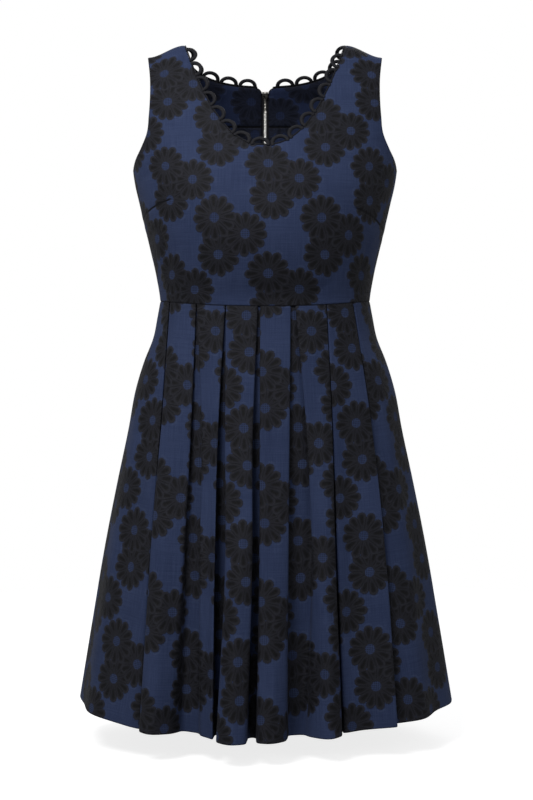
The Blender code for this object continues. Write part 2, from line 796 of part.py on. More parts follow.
def build_slider():
    """The slider: two plates on a post, with a bridge for the pull tab."""
    inner_face = CHAIN_THICKNESS / 2 + SEAM_GAP
    outer_face = inner_face + PLATE_WALL
    top, end = -0.001, SLIDER_LENGTH - 0.001
    bridge_top, bridge_end = PIVOT_ALONG - 0.003, PIVOT_ALONG + 0.003
    halves = (PLATE_TOP_HALF_WIDTH, PLATE_END_HALF_WIDTH)
    bridge = (BRIDGE_HALF_WIDTH, BRIDGE_HALF_WIDTH)
    sunk = outer_face - PLATE_WALL / 2
    crown = outer_face + BRIDGE_HEIGHT
    body = slider_block("zip_slider", "metal", (top, end), (inner_face, outer_face), *halves)
    blocks = [
        slider_block("guide_plate", "metal", (top, end), (-outer_face, -inner_face), *halves),
        slider_block(
            "guide_post", "metal", (top + 0.0003, 0.0017),
            (-inner_face - PLATE_WALL / 2, inner_face + PLATE_WALL / 2), 0.0012, 0.0008,
        ),
        slider_block("guide_foot", "metal", (bridge_top, bridge_top + 0.001), (sunk, crown), *bridge),
        slider_block("guide_heel", "metal", (bridge_end - 0.001, bridge_end), (sunk, crown), *bridge),
        slider_block(
            "guide_bridge", "metal", (bridge_top + 0.0005, bridge_end - 0.0005),
            (crown - 0.001, crown - 0.0001), BRIDGE_HALF_WIDTH - 0.0001, BRIDGE_HALF_WIDTH - 0.0001,
        ),
    ]
    join_blocks(body, blocks)


def build_pull():
    """The pull tab: a plate with an eye round the bridge, its origin on the pivot."""
    origin, down, out = slider_frame()
    pivot = origin + down * PIVOT_ALONG + out * PIVOT_OUT
    half = TAB_WALL / 2
    ends = (-half, half, half + TAB_EYE_LENGTH, TAB_LENGTH - 0.002, TAB_LENGTH)
    builder = bmesh.new()

    def corner(x, reach, level):
        return builder.verts.new(Vector((x, 0.0, 0.0)) + Vector(down * reach + out * level))

    outline = [
        (-TAB_HALF_WIDTH, ends[0]), (TAB_HALF_WIDTH, ends[0]), (TAB_HALF_WIDTH, ends[3]),
        (TAB_HALF_WIDTH - 0.001, ends[4]), (-TAB_HALF_WIDTH + 0.001, ends[4]),
        (-TAB_HALF_WIDTH, ends[3]),
    ]
    eye = [
        (-TAB_EYE_HALF_WIDTH, ends[1]), (TAB_EYE_HALF_WIDTH, ends[1]),
        (TAB_EYE_HALF_WIDTH, ends[2]), (-TAB_EYE_HALF_WIDTH, ends[2]),
    ]
    layers = [
        ([corner(x, reach, level) for x, reach in outline], [corner(x, reach, level) for x, reach in eye])
        for level in (-half, half)
    ]
    for rim in (0, 1):
        low, high = layers[0][rim], layers[1][rim]
        for a, b, c, d in zip(low, low[1:] + low[:1], high[1:] + high[:1], high):
            builder.faces.new((a, b, c, d))
    for outer_rim, inner_rim in layers:
        builder.faces.new((outer_rim[0], outer_rim[1], inner_rim[1], inner_rim[0]))
        builder.faces.new((outer_rim[1], outer_rim[2], inner_rim[2], inner_rim[1]))
        builder.faces.new((outer_rim[2], outer_rim[3], outer_rim[4], outer_rim[5], inner_rim[3], inner_rim[2]))
        builder.faces.new((outer_rim[5], outer_rim[0], inner_rim[0], inner_rim[3]))
    bmesh.ops.recalc_face_normals(builder, faces=builder.faces)
    mesh = bpy.data.meshes.new("zip_pull")
    builder.to_mesh(mesh)
    builder.free()
    tab = add_object("zip_pull", mesh, "metal")
    tab.location = Vector(pivot)


def main():
    """Clear the scene and build every sub-part."""
    for old in list(bpy.data.objects):
        bpy.data.objects.remove(old)
    build_bodice()
    build_facing()
    build_skirt()
    build_loops()
    build_zip()
    build_slider()
    build_pull()


main()
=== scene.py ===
"""Sleeveless a-line dress in a navy cloth with raised daisies, dressed on its packed pattern pieces.

Lengths are metres, +Z is up, the front faces -Y and the wearer's left is +X. The origin is
midway between the shoulders, at the neck ends of the shoulder seams. The bodice is a surface
of two numbers: an angle round the body, 0 at the centre front or back, and a rise, the signed
square root of the drop below the shoulder ridge. The skirt is a stack of rings, each a path
over its panels and down into its pleats.
"""

import logging
import math
from collections.abc import Callable
from dataclasses import dataclass, field, replace
from enum import Enum
from functools import partialmethod

import bmesh
import bpy
import numpy as np
from bpy.types import Material, Mesh, Node, NodeSocket, NodeTree, Object, Scene
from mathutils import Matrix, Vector
from mathutils.kdtree import KDTree


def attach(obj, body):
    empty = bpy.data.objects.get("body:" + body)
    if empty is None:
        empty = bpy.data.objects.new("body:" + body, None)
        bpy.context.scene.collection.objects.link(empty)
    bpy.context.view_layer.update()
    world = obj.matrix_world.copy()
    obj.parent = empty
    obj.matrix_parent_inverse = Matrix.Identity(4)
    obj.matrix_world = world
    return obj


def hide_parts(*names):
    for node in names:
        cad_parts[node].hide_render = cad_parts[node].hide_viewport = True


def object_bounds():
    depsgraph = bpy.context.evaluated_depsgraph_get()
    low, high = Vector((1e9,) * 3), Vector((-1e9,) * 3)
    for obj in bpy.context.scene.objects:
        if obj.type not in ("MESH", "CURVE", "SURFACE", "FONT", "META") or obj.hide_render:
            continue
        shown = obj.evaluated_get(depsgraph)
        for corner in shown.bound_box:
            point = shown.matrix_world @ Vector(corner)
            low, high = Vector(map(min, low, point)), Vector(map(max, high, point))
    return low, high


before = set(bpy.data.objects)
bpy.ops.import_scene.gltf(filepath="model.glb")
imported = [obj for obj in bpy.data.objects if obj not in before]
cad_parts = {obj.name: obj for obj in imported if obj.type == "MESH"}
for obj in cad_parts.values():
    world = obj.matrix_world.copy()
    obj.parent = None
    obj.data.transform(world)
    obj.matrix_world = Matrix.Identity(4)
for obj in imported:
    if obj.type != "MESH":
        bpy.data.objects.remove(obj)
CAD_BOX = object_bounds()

LOG = logging.getLogger("dress")
Array = np.ndarray
Pair = tuple[Array, Array]
Rows = tuple[tuple[float, ...], ...]


class Facing(Enum):
    """The front or the back of the dress, by the sign of its Y."""

    FRONT = -1.0
    BACK = 1.0


class Side(Enum):
    """The wearer's sides, by the sign of their X."""

    RIGHT = -1.0
    LEFT = 1.0


class Slot(Enum):
    """The finish slots of the part's record."""

    CLOTH = "cloth"
    FACING = "facing"
    CORD = "cord"
    TAPE = "tape"
    METAL = "metal"


class Body(Enum):
    """The bodies that a piece can ride on."""

    DRESS = "dress"
    PULL = "pull_tab"


# -------- numbers and curves


def power(value: Array, exponent: float) -> Array:
    """A power that keeps the sign."""
    return np.sign(value) * np.abs(value) ** exponent


def ease(value: Array) -> Array:
    """0 to 1 with a smooth start and end."""
    value = np.clip(value, 0.0, 1.0)
    return value * value * (3 - 2 * value)


def unit(vectors: Array) -> Array:
    """Vectors of length one."""
    return vectors / np.maximum(np.linalg.norm(vectors, axis=-1, keepdims=True), 1e-12)


def along(points: Array, axis: int = 0) -> Array:
    """Distance along lines of points.

    Args:
        points: Points with their coordinates in the last axis.
        axis: The axis that a line runs along.

    Returns:
        The distance from each line's first point, in the shape of the points.
    """
    steps = np.linalg.norm(np.diff(points, axis=axis), axis=-1)
    start = np.zeros_like(np.take(steps, [0], axis=axis))
    return np.concatenate([start, np.cumsum(steps, axis=axis)], axis=axis)


def read_line(line: Array, length: Array, stops: Array) -> Array:
    """Values of a line of points at distances along it."""
    return np.stack([np.interp(stops, length, values) for values in line.T], axis=-1)


def smooth(knots: Array, values: Array, at: Array) -> Array:
    """A smooth curve through values, by the slopes of a three-point parabola.

    Args:
        knots: Increasing places of the values.
        values: The values to pass through.
        at: Places to read.

    Returns:
        The curve's value at each place.
    """
    slopes = np.gradient(values, knots)
    index = np.clip(np.searchsorted(knots, at) - 1, 0, len(knots) - 2)
    span = knots[index + 1] - knots[index]
    part = np.clip((at - knots[index]) / span, 0.0, 1.0)
    start, end = values[index], values[index + 1]
    rise_in, rise_out = slopes[index] * span, slopes[index + 1] * span
    return (
        start + (end - start) * part * part * (3 - 2 * part)
        + rise_in * part * (1 - part) ** 2
        - rise_out * part * part * (1 - part)
    )


def graded(count: int, length: float, start: bool = True, end: bool = True) -> Array:
    """Stops from 0 to 1 that crowd towards the ends, where an edge is rolled.

    Args:
        count: Steps in all.
        length: The real length of the line.
        start: Whether the stops crowd at 0.
        end: Whether they crowd at 1.

    Returns:
        The stops.
    """
    crowd = np.array([0.0, 0.00025, 0.0006, 0.0011, 0.0018, 0.0028]) / length
    low = crowd if start else np.zeros(1)
    high = 1 - (crowd if end else np.zeros(1))[::-1]
    middle = np.linspace(low[-1], high[0], count + 3 - len(low) - len(high))
    return np.concatenate([low, middle[1:-1], high])


@dataclass(frozen=True)
class Table:
    """A short table of sizes with named columns."""

    columns: tuple[str, ...]
    rows: Rows

    def column(self, name: str) -> Array:
        """One named column."""
        return np.array([row[self.columns.index(name)] for row in self.rows])

    def curve(self, key: str, name: str, at: Array) -> Array:
        """A column read as a smooth curve over another one."""
        return smooth(self.column(key), self.column(name), at)


@dataclass(frozen=True)
class Cloth:
    """Thicknesses and seams that every cloth piece shares."""

    wall: float = 0.0012
    skirt_wall: float = 0.0009
    facing_wall: float = 0.001
    seam_gap: float = 0.0003
    shoulder_gap: float = 0.0022
    roll_depth: float = 0.00055
    roll_reach: float = 0.0022

    def roll(self, distance: Array) -> Array:
        """How far the cloth's face turns in at a distance from its cut edge."""
        return self.roll_depth * np.clip(1 - distance / self.roll_reach, 0, 1) ** 2


CLOTH = Cloth()


# -------- the form under the bodice


@dataclass(frozen=True)
class BodiceForm:
    """The surface that the bodice, its facing, the loops and the zip are laid on."""

    roundness: float = 2.2
    waist_drop: float = 0.341
    front_waist_dip: float = 0.009
    back_waist_dip: float = 0.006
    underarm_drop: float = 0.169
    neck_half_width: float = 0.107
    shoulder_half_width: float = 0.1558
    shoulder_slope: float = 0.016
    slope_fade: float = 0.05
    seam_rise: float = -0.033
    front_neck_drop: float = 0.144
    back_neck_drop: float = 0.046
    zip_opening: float = 0.0046
    corner_turn: float = 0.006
    corner_reach: float = 0.0035
    lower_share: float = 8 / 18
    body: Table = Table(
        ("drop", "half_width", "front", "back"),
        (
            (0.0, 0.178, 0.0, 0.0), (0.004, 0.178, 0.016, 0.016), (0.016, 0.1778, 0.03, 0.032),
            (0.04, 0.1772, 0.047, 0.055), (0.07, 0.1768, 0.064, 0.075), (0.105, 0.1764, 0.082, 0.091),
            (0.141, 0.176, 0.1, 0.101), (0.169, 0.1753, 0.114, 0.106), (0.187, 0.1726, 0.1215, 0.1075),
            (0.211, 0.167, 0.1275, 0.108), (0.239, 0.1605, 0.131, 0.1065), (0.268, 0.1536, 0.129, 0.1025),
            (0.31, 0.1441, 0.118, 0.0965), (0.341, 0.1393, 0.107, 0.094), (0.365, 0.139, 0.1065, 0.094),
        ),
    )
    armhole: Table = Table(
        ("drop", "half_width"),
        (
            (0.0, 0.1558), (0.048, 0.1516), (0.096, 0.1526), (0.122, 0.1553), (0.141, 0.1633),
            (0.157, 0.1716), (0.169, 0.1753),
        ),
    )

    def across(self, angle: Array) -> Array:
        """The share of the half width at an angle round the body."""
        return power(np.sin(angle), 2 / self.roundness)

    def forward(self, angle: Array) -> Array:
        """The share of the depth at an angle round the body."""
        return power(np.cos(angle), 2 / self.roundness)

    def angle_of(self, share: Array) -> Array:
        """The angle at which the body reaches a share of its half width."""
        return np.arcsin(np.clip(share, 0.0, 1.0) ** (self.roundness / 2))

    def size(self, name: str, drop: Array) -> Array:
        """A column of the body at a drop, with square-root spacing near the ridge."""
        knots = np.sqrt(self.body.column("drop"))
        return smooth(knots, self.body.column(name), np.sqrt(drop))

    def point(self, angle: Array, rise: Array) -> Array:
        """The point of the surface at an angle and a rise."""
        drop = rise * rise
        x = self.size("half_width", drop) * self.across(angle)
        depth = np.where(rise < 0, -self.size("front", drop), self.size("back", drop))
        reach = self.shoulder_half_width - self.neck_half_width
        slope = -self.shoulder_slope * ease((np.abs(x) - self.neck_half_width) / reach)
        z = slope * np.exp(-drop / self.slope_fade) - drop
        return np.stack([x, depth * self.forward(angle), z], axis=-1)

    def normal(self, angle: Array, rise: Array, step: float = 0.001) -> Array:
        """The outward direction of the surface."""
        round_body = self.point(angle + step, rise) - self.point(angle - step, rise)
        over_shoulder = self.point(angle, rise + step) - self.point(angle, rise - step)
        return unit(np.cross(round_body, over_shoulder))

    def side_angle(self, drop: Array, facing: Facing) -> Array:
        """The angle of the armhole's edge, or of the side seam below the underarm."""
        depth = np.maximum(self.size(facing.name.lower(), drop), CLOTH.wall)
        seam = np.arccos((CLOTH.seam_gap / 2 / depth) ** (self.roundness / 2))
        edge = self.armhole.curve("drop", "half_width", drop)
        armhole = self.angle_of(edge / self.size("half_width", drop))
        return np.where(drop < self.underarm_drop, np.minimum(armhole, seam), seam)

    def neckline(self, facing: Facing) -> Pair:
        """Angles and rises along half a neckline, from the centre to the shoulder seam."""
        turn = np.linspace(0, math.pi / 2, 400)
        half_gap = CLOTH.shoulder_gap / 2
        if facing is Facing.FRONT:
            x = self.neck_half_width * np.sin(turn)
            drop = self.front_neck_drop * (1 - (x / self.neck_half_width) ** 2.3)
            rise = -np.sqrt(np.maximum(drop, 0))
            keep = rise < self.seam_rise - half_gap
            x = np.append(x[keep], self.neck_half_width)
            rise = np.append(rise[keep], self.seam_rise - half_gap)
        else:
            x = self.zip_opening + (self.neck_half_width - self.zip_opening) * np.sin(turn)
            side = np.clip(x / self.neck_half_width, 0, 1)
            drop = self.back_neck_drop * (1 - side ** 2.45) ** (1 / 2.45)
            drop = drop + self.corner_turn * np.exp(-(x - self.zip_opening) / self.corner_reach)
            over = np.linspace(0, self.seam_rise + half_gap, 8)[1:]
            x = np.append(x, np.full(len(over), self.neck_half_width))
            rise = np.append(np.sqrt(np.maximum(drop, 0)), over)
        return self.angle_of(x / self.size("half_width", rise * rise)), rise

    def resample(self, line: Pair, stops: Array) -> Pair:
        """A line of angles and rises read at shares of its length on the surface."""
        length = along(self.point(*line))
        places = stops * length[-1]
        return np.interp(places, length, line[0]), np.interp(places, length, line[1])

    def edge(self, lower: Pair, upper: Pair, stops: Pair) -> Pair:
        """Two stretches of an edge read at their own stops and joined end to end."""
        low, high = self.resample(lower, stops[0]), self.resample(upper, stops[1])
        return tuple(np.concatenate([a, b[1:]]) for a, b in zip(low, high))

    def inner_edge(self, facing: Facing, stops: Pair) -> Pair:
        """Half a panel's centre line and neckline, from the waist to the shoulder seam."""
        front = facing is Facing.FRONT
        dip = self.front_waist_dip if front else self.back_waist_dip
        opening = 0.0 if front else self.zip_opening
        neck = self.neckline(facing)
        drops = np.linspace(self.waist_drop + dip, neck[1][0] ** 2, 120)
        angles = self.angle_of(opening / self.size("half_width", drops))
        return self.edge((angles, facing.value * np.sqrt(drops)), neck, stops)

    def outer_edge(self, facing: Facing, stops: Pair) -> Pair:
        """Half a panel's side seam and armhole, from the waist to the shoulder seam."""
        seam_rise = self.seam_rise + facing.value * CLOTH.shoulder_gap / 2
        below = np.linspace(self.waist_drop, self.underarm_drop, 120)
        above = np.linspace(math.sqrt(self.underarm_drop), 0.0, 400) ** 2
        angles, rises = self.side_angle(above, facing), facing.value * np.sqrt(above)
        if facing is Facing.FRONT:
            keep = rises < seam_rise
            angles, rises, over = angles[keep], rises[keep], np.array([seam_rise])
        else:
            over = np.linspace(0, seam_rise, 8)[1:]
        tip = self.angle_of(self.shoulder_half_width / self.size("half_width", np.zeros(1)))
        armhole = np.append(angles, np.full(len(over), tip)), np.append(rises, over)
        below_line = self.side_angle(below, facing), facing.value * np.sqrt(below)
        return self.edge(below_line, armhole, stops)

    def patch(self, facing: Facing, share: Array, stops: Pair) -> Pair:
        """Angles and rises over half a bodice panel.

        Args:
            facing: The front or back panel.
            share: Column stops, 0 at the side and 1 at the centre or neck.
            stops: Row stops below and above the underarm.

        Returns:
            Two grids, with rows upwards and columns from the side to the centre.
        """
        dip = self.front_waist_dip if facing is Facing.FRONT else self.back_waist_dip
        inner, outer = self.inner_edge(facing, stops), self.outer_edge(facing, stops)
        upper_part = self.lower_share + stops[1][1:] * (1 - self.lower_share)
        climb = np.concatenate([stops[0] * self.lower_share, upper_part])[:, None]
        low_angles = outer[0][0] + (inner[0][0] - outer[0][0]) * share
        low_rises = facing.value * np.sqrt(self.waist_drop + dip * self.forward(low_angles) ** 2)
        low_rises = low_rises + (outer[1][0] - low_rises[0]) * (1 - share)
        low_rises = low_rises + (inner[1][0] - low_rises[-1]) * share
        top_angles = outer[0][-1] + (inner[0][-1] - outer[0][-1]) * share
        top_rises = np.full(len(share), inner[1][-1])
        left, right = np.array(outer), np.array(inner)
        low, top = np.array([low_angles, low_rises])[:, None], np.array([top_angles, top_rises])[:, None]
        sides = (1 - share) * left[..., None] + share * right[..., None]
        corners = (1 - climb) * ((1 - share) * left[:, :1] + share * right[:, :1])[:, None]
        corners = corners + climb * ((1 - share) * left[:, -1:] + share * right[:, -1:])[:, None]
        angle, rise = sides + ((1 - climb) * low + climb * top) - corners
        return angle, rise

    def patch_above(self, facing: Facing, share: Array, stops: Pair) -> Pair:
        """The part of a patch inside its first column stop and above its first row stop.

        Args:
            facing: The front or back panel.
            share: Column stops, of which the first lies inside the side seam.
            stops: Row stops, of which the first lies above the waist.

        Returns:
            Angles and rises over that part.
        """
        whole = np.concatenate([[0.0], stops[0]]), stops[1]
        angle, rise = self.patch(facing, np.concatenate([[0.0], share]), whole)
        return angle[1:, 1:], rise[1:, 1:]

    def cut_place(self, angle: Array, rise: Array, facing: Facing, steps: int = 48) -> Array:
        """Where a point lies on the flat cut: across from the centre and up from the waist.

        Args:
            angle: Angles round the body.
            rise: Rises of the points.
            facing: The front or the back.
            steps: Steps of the sums along the surface.

        Returns:
            Distances across and up, in the last axis.
        """
        parts = np.linspace(0, 1, steps)
        level = np.broadcast_to(rise[..., None], angle.shape + (steps,))
        sweep = self.point(angle[..., None] * parts, level)
        width = np.linalg.norm(np.diff(sweep, axis=-2), axis=-1).sum(-1) * np.sign(angle)
        waist = facing.value * math.sqrt(self.waist_drop)
        rises = waist + (rise[..., None] - waist) * parts
        climb = self.point(np.broadcast_to(angle[..., None], rises.shape) * 0.6, rises)
        up = np.linalg.norm(np.diff(climb, axis=-2), axis=-1).sum(-1)
        return np.stack([width, up * -facing.value * np.sign(rise - waist)], axis=-1)


FORM = BodiceForm()


@dataclass(frozen=True)
class Panel:
    """A face panel of the skirt: the x of its folds down its length, and how far it lies in.

    A fold of None is a seam. The insets are evenly spaced over the width, at the hem.
    """

    first: tuple[float, ...] | None
    last: tuple[float, ...] | None
    insets: tuple[float, ...]

    def inset(self, part: Array, share: float) -> Array:
        """How far inside the body the panel lies at parts of its width."""
        values = np.array(self.insets)
        knots = np.linspace(0, 1, len(values))
        return smooth(knots, values, part) * share ** SKIRT.dip_growth

    def moved(self, shift: float) -> "Panel":
        """The panel with its folds moved in proportion to the drop."""
        folds = [
            None if fold is None else tuple(x + shift * s for x, s in zip(fold, SKIRT.fold_shares))
            for fold in (self.first, self.last)
        ]
        return Panel(folds[0], folds[1], self.insets)


@dataclass(frozen=True)
class SkirtForm:
    """The body under the skirt and the sizes of its pleats."""

    length: float = 0.527
    front_hem_dip: float = 0.024
    back_hem_dip: float = 0.01
    fold_stack: float = 0.0027
    return_clearance: float = 0.0002
    underlay_stack: float = 0.0034
    waist_tuck: float = 0.0125
    dip_growth: float = 1.3
    fold_shares: tuple[float, ...] = (0.0, 0.3, 0.6, 1.0)
    body: Table = Table(
        ("share", "half_width", "front", "back"),
        (
            (0.0, 0.1393, 0.107, 0.094), (0.04, 0.1432, 0.1095, 0.098), (0.09, 0.1485, 0.113, 0.103),
            (0.15, 0.1608, 0.118, 0.109), (0.22, 0.172, 0.124, 0.117), (0.32, 0.1818, 0.132, 0.126),
            (0.45, 0.1962, 0.143, 0.139), (0.6, 0.2118, 0.156, 0.155), (0.8, 0.2297, 0.172, 0.174),
            (1.0, 0.2469, 0.185, 0.19),
        ),
    )


SKIRT = SkirtForm()


class Ring:
    """Half of the skirt's body at one share of its length, front or back."""

    def __init__(self, facing: Facing, share: float) -> None:
        """Samples the half ring from the wearer's right side seam to the left one."""
        self.facing, self.share = facing, share
        self.half_width = float(SKIRT.body.curve("share", "half_width", share))
        self.depth = float(SKIRT.body.curve("share", facing.name.lower(), share))
        front = facing is Facing.FRONT
        self.waist_dip = FORM.front_waist_dip if front else FORM.back_waist_dip
        self.hem_dip = SKIRT.front_hem_dip if front else SKIRT.back_hem_dip
        seam = math.acos((CLOTH.seam_gap / 2 / self.depth) ** (FORM.roundness / 2))
        angles = np.linspace(-seam, seam, 1201)
        self.x = self.half_width * FORM.across(angles)
        self.y = facing.value * self.depth * FORM.forward(angles)
        self.length = along(np.stack([self.x, self.y], axis=1))
        self.length = self.length - self.length[-1] / 2

    def place(self, x: Array) -> Array:
        """Distance along the ring from its middle to the point at x."""
        return np.interp(x, self.x, self.length)

    def points(self, distance: Array, inset: Array) -> Array:
        """Points at distances along the ring, set in from it, at their heights."""
        near = [np.clip(distance + step, self.length[0], self.length[-1]) for step in (-0.002, 0.002)]
        (x0, x1), (y0, y1) = [
            [np.interp(place, self.length, line) for place in near] for line in (self.x, self.y)
        ]
        outward = unit(np.stack([y0 - y1, x1 - x0], axis=1)) * self.facing.value
        at_seam = np.abs(distance) > self.length[-1] - CLOTH.seam_gap
        outward[at_seam] = np.stack([np.sign(distance), np.zeros_like(distance)], axis=1)[at_seam]
        x = np.interp(distance, self.length, self.x)
        y = np.interp(distance, self.length, self.y)
        lean = (y / self.depth) ** 2
        waist = -FORM.waist_drop - CLOTH.seam_gap - self.waist_dip * lean
        hem = -FORM.waist_drop - SKIRT.length - self.hem_dip * lean
        z = waist + (hem - waist) * self.share
        return np.stack([x - outward[:, 0] * inset, y - outward[:, 1] * inset, z], axis=1)


# -------- meshes


@dataclass
class Sheet:
    """A grid of cloth: its two faces, its place on the flat cut and its named fields."""

    outer: Array
    inner: Array
    cut: Array
    fields: dict[str, Array] = field(default_factory=dict)

    @staticmethod
    def corners(grid: Array) -> Array:
        """The four corner values of each cell of a grid, in turn round it."""
        return np.stack([grid[:-1, :-1], grid[:-1, 1:], grid[1:, 1:], grid[1:, :-1]], axis=2)

    def cut_corners(self) -> Array:
        """The place on the cut of each cell's corners."""
        return self.cut if self.cut.ndim == 4 else self.corners(self.cut)

    def flat_area(self) -> float:
        """The area of the flat cut."""
        cut = self.cut_corners().reshape(-1, 4, 2)
        first, second = cut[:, 2] - cut[:, 0], cut[:, 3] - cut[:, 1]
        return float(np.abs(first[:, 0] * second[:, 1] - first[:, 1] * second[:, 0]).sum() / 2)

    def mirrored(self) -> "Sheet":
        """The same cloth on the wearer's other side."""
        flip = np.array([-1.0, 1.0, 1.0])
        return replace(self, outer=self.outer * flip, inner=self.inner * flip, cut=self.cut * flip[:2])


def wall_mesh(name: str, sheets: list[Sheet]) -> Mesh:
    """One closed wall over grids of cloth that may share an edge.

    The face cells take the first material, the lining cells the second and the rim the first.

    Args:
        name: The mesh's name.
        sheets: Grids whose equal points are welded.

    Returns:
        The mesh, with its cut as the UV map and the fields as point attributes.
    """
    outer = np.concatenate([sheet.outer.reshape(-1, 3) for sheet in sheets])
    inner = np.concatenate([sheet.inner.reshape(-1, 3) for sheet in sheets])
    first = ids = np.arange(len(outer))
    if len(sheets) > 1:
        _, first, ids = np.unique(np.round(outer, 6), axis=0, return_index=True, return_inverse=True)
        ids = ids.reshape(-1)
    count, start, cells, places = len(first), 0, [], []
    for sheet in sheets:
        rows, columns = sheet.outer.shape[:2]
        index = ids[start:start + rows * columns].reshape(rows, columns)
        start += rows * columns
        quads = Sheet.corners(index[..., None]).reshape(-1, 4)
        cut = sheet.cut_corners().reshape(-1, 4, 2)
        a, b, c = (outer[first][quads[:, corner]] for corner in (0, 1, 3))
        lift = outer[first][quads[:, 0]] - inner[first][quads[:, 0]]
        if np.sum(np.cross(b - a, c - a) * lift) < 0:
            quads, cut = quads[:, ::-1], cut[:, ::-1]
        cells.append(quads)
        places.append(cut)
    quads, cut = np.concatenate(cells), np.concatenate(places)
    tail, head = quads.ravel(), np.roll(quads, -1, axis=1).ravel()
    rim = ~np.isin(tail * count + head, head * count + tail)
    tail_cut, head_cut = cut.reshape(-1, 2)[rim], np.roll(cut, -1, axis=1).reshape(-1, 2)[rim]
    tail, head = tail[rim], head[rim]
    rims = np.stack([head, tail, tail + count, head + count], axis=1)
    rim_cut = np.stack([head_cut, tail_cut, tail_cut, head_cut], axis=1)
    faces = np.concatenate([quads, quads[:, ::-1] + count, rims])
    places = np.concatenate([cut, cut[:, ::-1], rim_cut]).reshape(-1, 2)
    mesh = bpy.data.meshes.new(name)
    mesh.from_pydata(np.concatenate([outer[first], inner[first]]).tolist(), [], faces.tolist())
    kinds = np.zeros(len(faces), np.int32)
    kinds[len(quads):2 * len(quads)] = 1
    mesh.polygons.foreach_set("material_index", kinds)
    layer = mesh.uv_layers.new(name="cut")
    layer.data.foreach_set("uv", places.astype(np.float32).ravel())
    for key in sheets[0].fields:
        values = np.concatenate([sheet.fields[key].ravel() for sheet in sheets])[first]
        attribute = mesh.attributes.new(key, "FLOAT", "POINT")
        attribute.data.foreach_set("value", np.tile(values, 2).astype(np.float32))
    mesh.shade_smooth()
    mesh.set_sharp_from_angle(angle=math.radians(62))
    mesh.update()
    return mesh


def place_object(name: str, mesh: Mesh, finishes: list[Material]) -> Object:
    """Put a mesh in the scene at the origin, with its finishes."""
    if len(finishes) == 1:
        mesh.materials.clear()
    for finish in finishes:
        mesh.materials.append(finish)
    made = bpy.data.objects.new(name, mesh)
    bpy.context.scene.collection.objects.link(made)
    return made


def settle(piece: Object, body: Body, slot: Slot, *nodes: str) -> Object:
    """Let a piece ride on its body and stand for the plain solids it dresses."""
    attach(piece, body.value)
    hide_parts(*nodes)
    LOG.info("%s stands for %s: %d faces", piece.name, ", ".join(nodes), len(piece.data.polygons))
    return piece


def lay_cloth(
    name: str, node: str, sheets: list[Sheet], finishes: list[Material], slot: Slot = Slot.CLOTH
) -> None:
    """Make a cloth piece and state the flat size that it was cut to.

    Args:
        name: The piece's name.
        node: The plain solid that it stands for.
        sheets: Its grids, whose places on the cut give the size.
        finishes: The finishes of its first and second face.
        slot: Its finish slot; not used.
    """
    piece = settle(place_object(name, wall_mesh(name, sheets), finishes), Body.DRESS, slot, node)
    places = np.concatenate([sheet.cut_corners().reshape(-1, 2) for sheet in sheets])
    width, length = np.ptp(places, axis=0)
    area = min(sum(sheet.flat_area() for sheet in sheets), width * length)
    LOG.info("%s is cut from %.3f by %.3f m, %.4f square metres", name, width, length, area)


def line_field(points: Array, line: Array) -> Array:
    """Distance from each point to a line of points.

    Args:
        points: A grid of points.
        line: The line, in order.

    Returns:
        The distances, in the grid's shape.
    """
    length = along(line)
    stops = np.linspace(0, length[-1], max(2, int(length[-1] / 0.0003)))
    fine = read_line(line, length, stops)
    tree = KDTree(len(fine))
    for index, point in enumerate(fine):
        tree.insert(point, index)
    tree.balance()
    flat = [tree.find(point)[2] for point in points.reshape(-1, 3)]
    return np.array(flat).reshape(points.shape[:-1])


# -------- shader groups


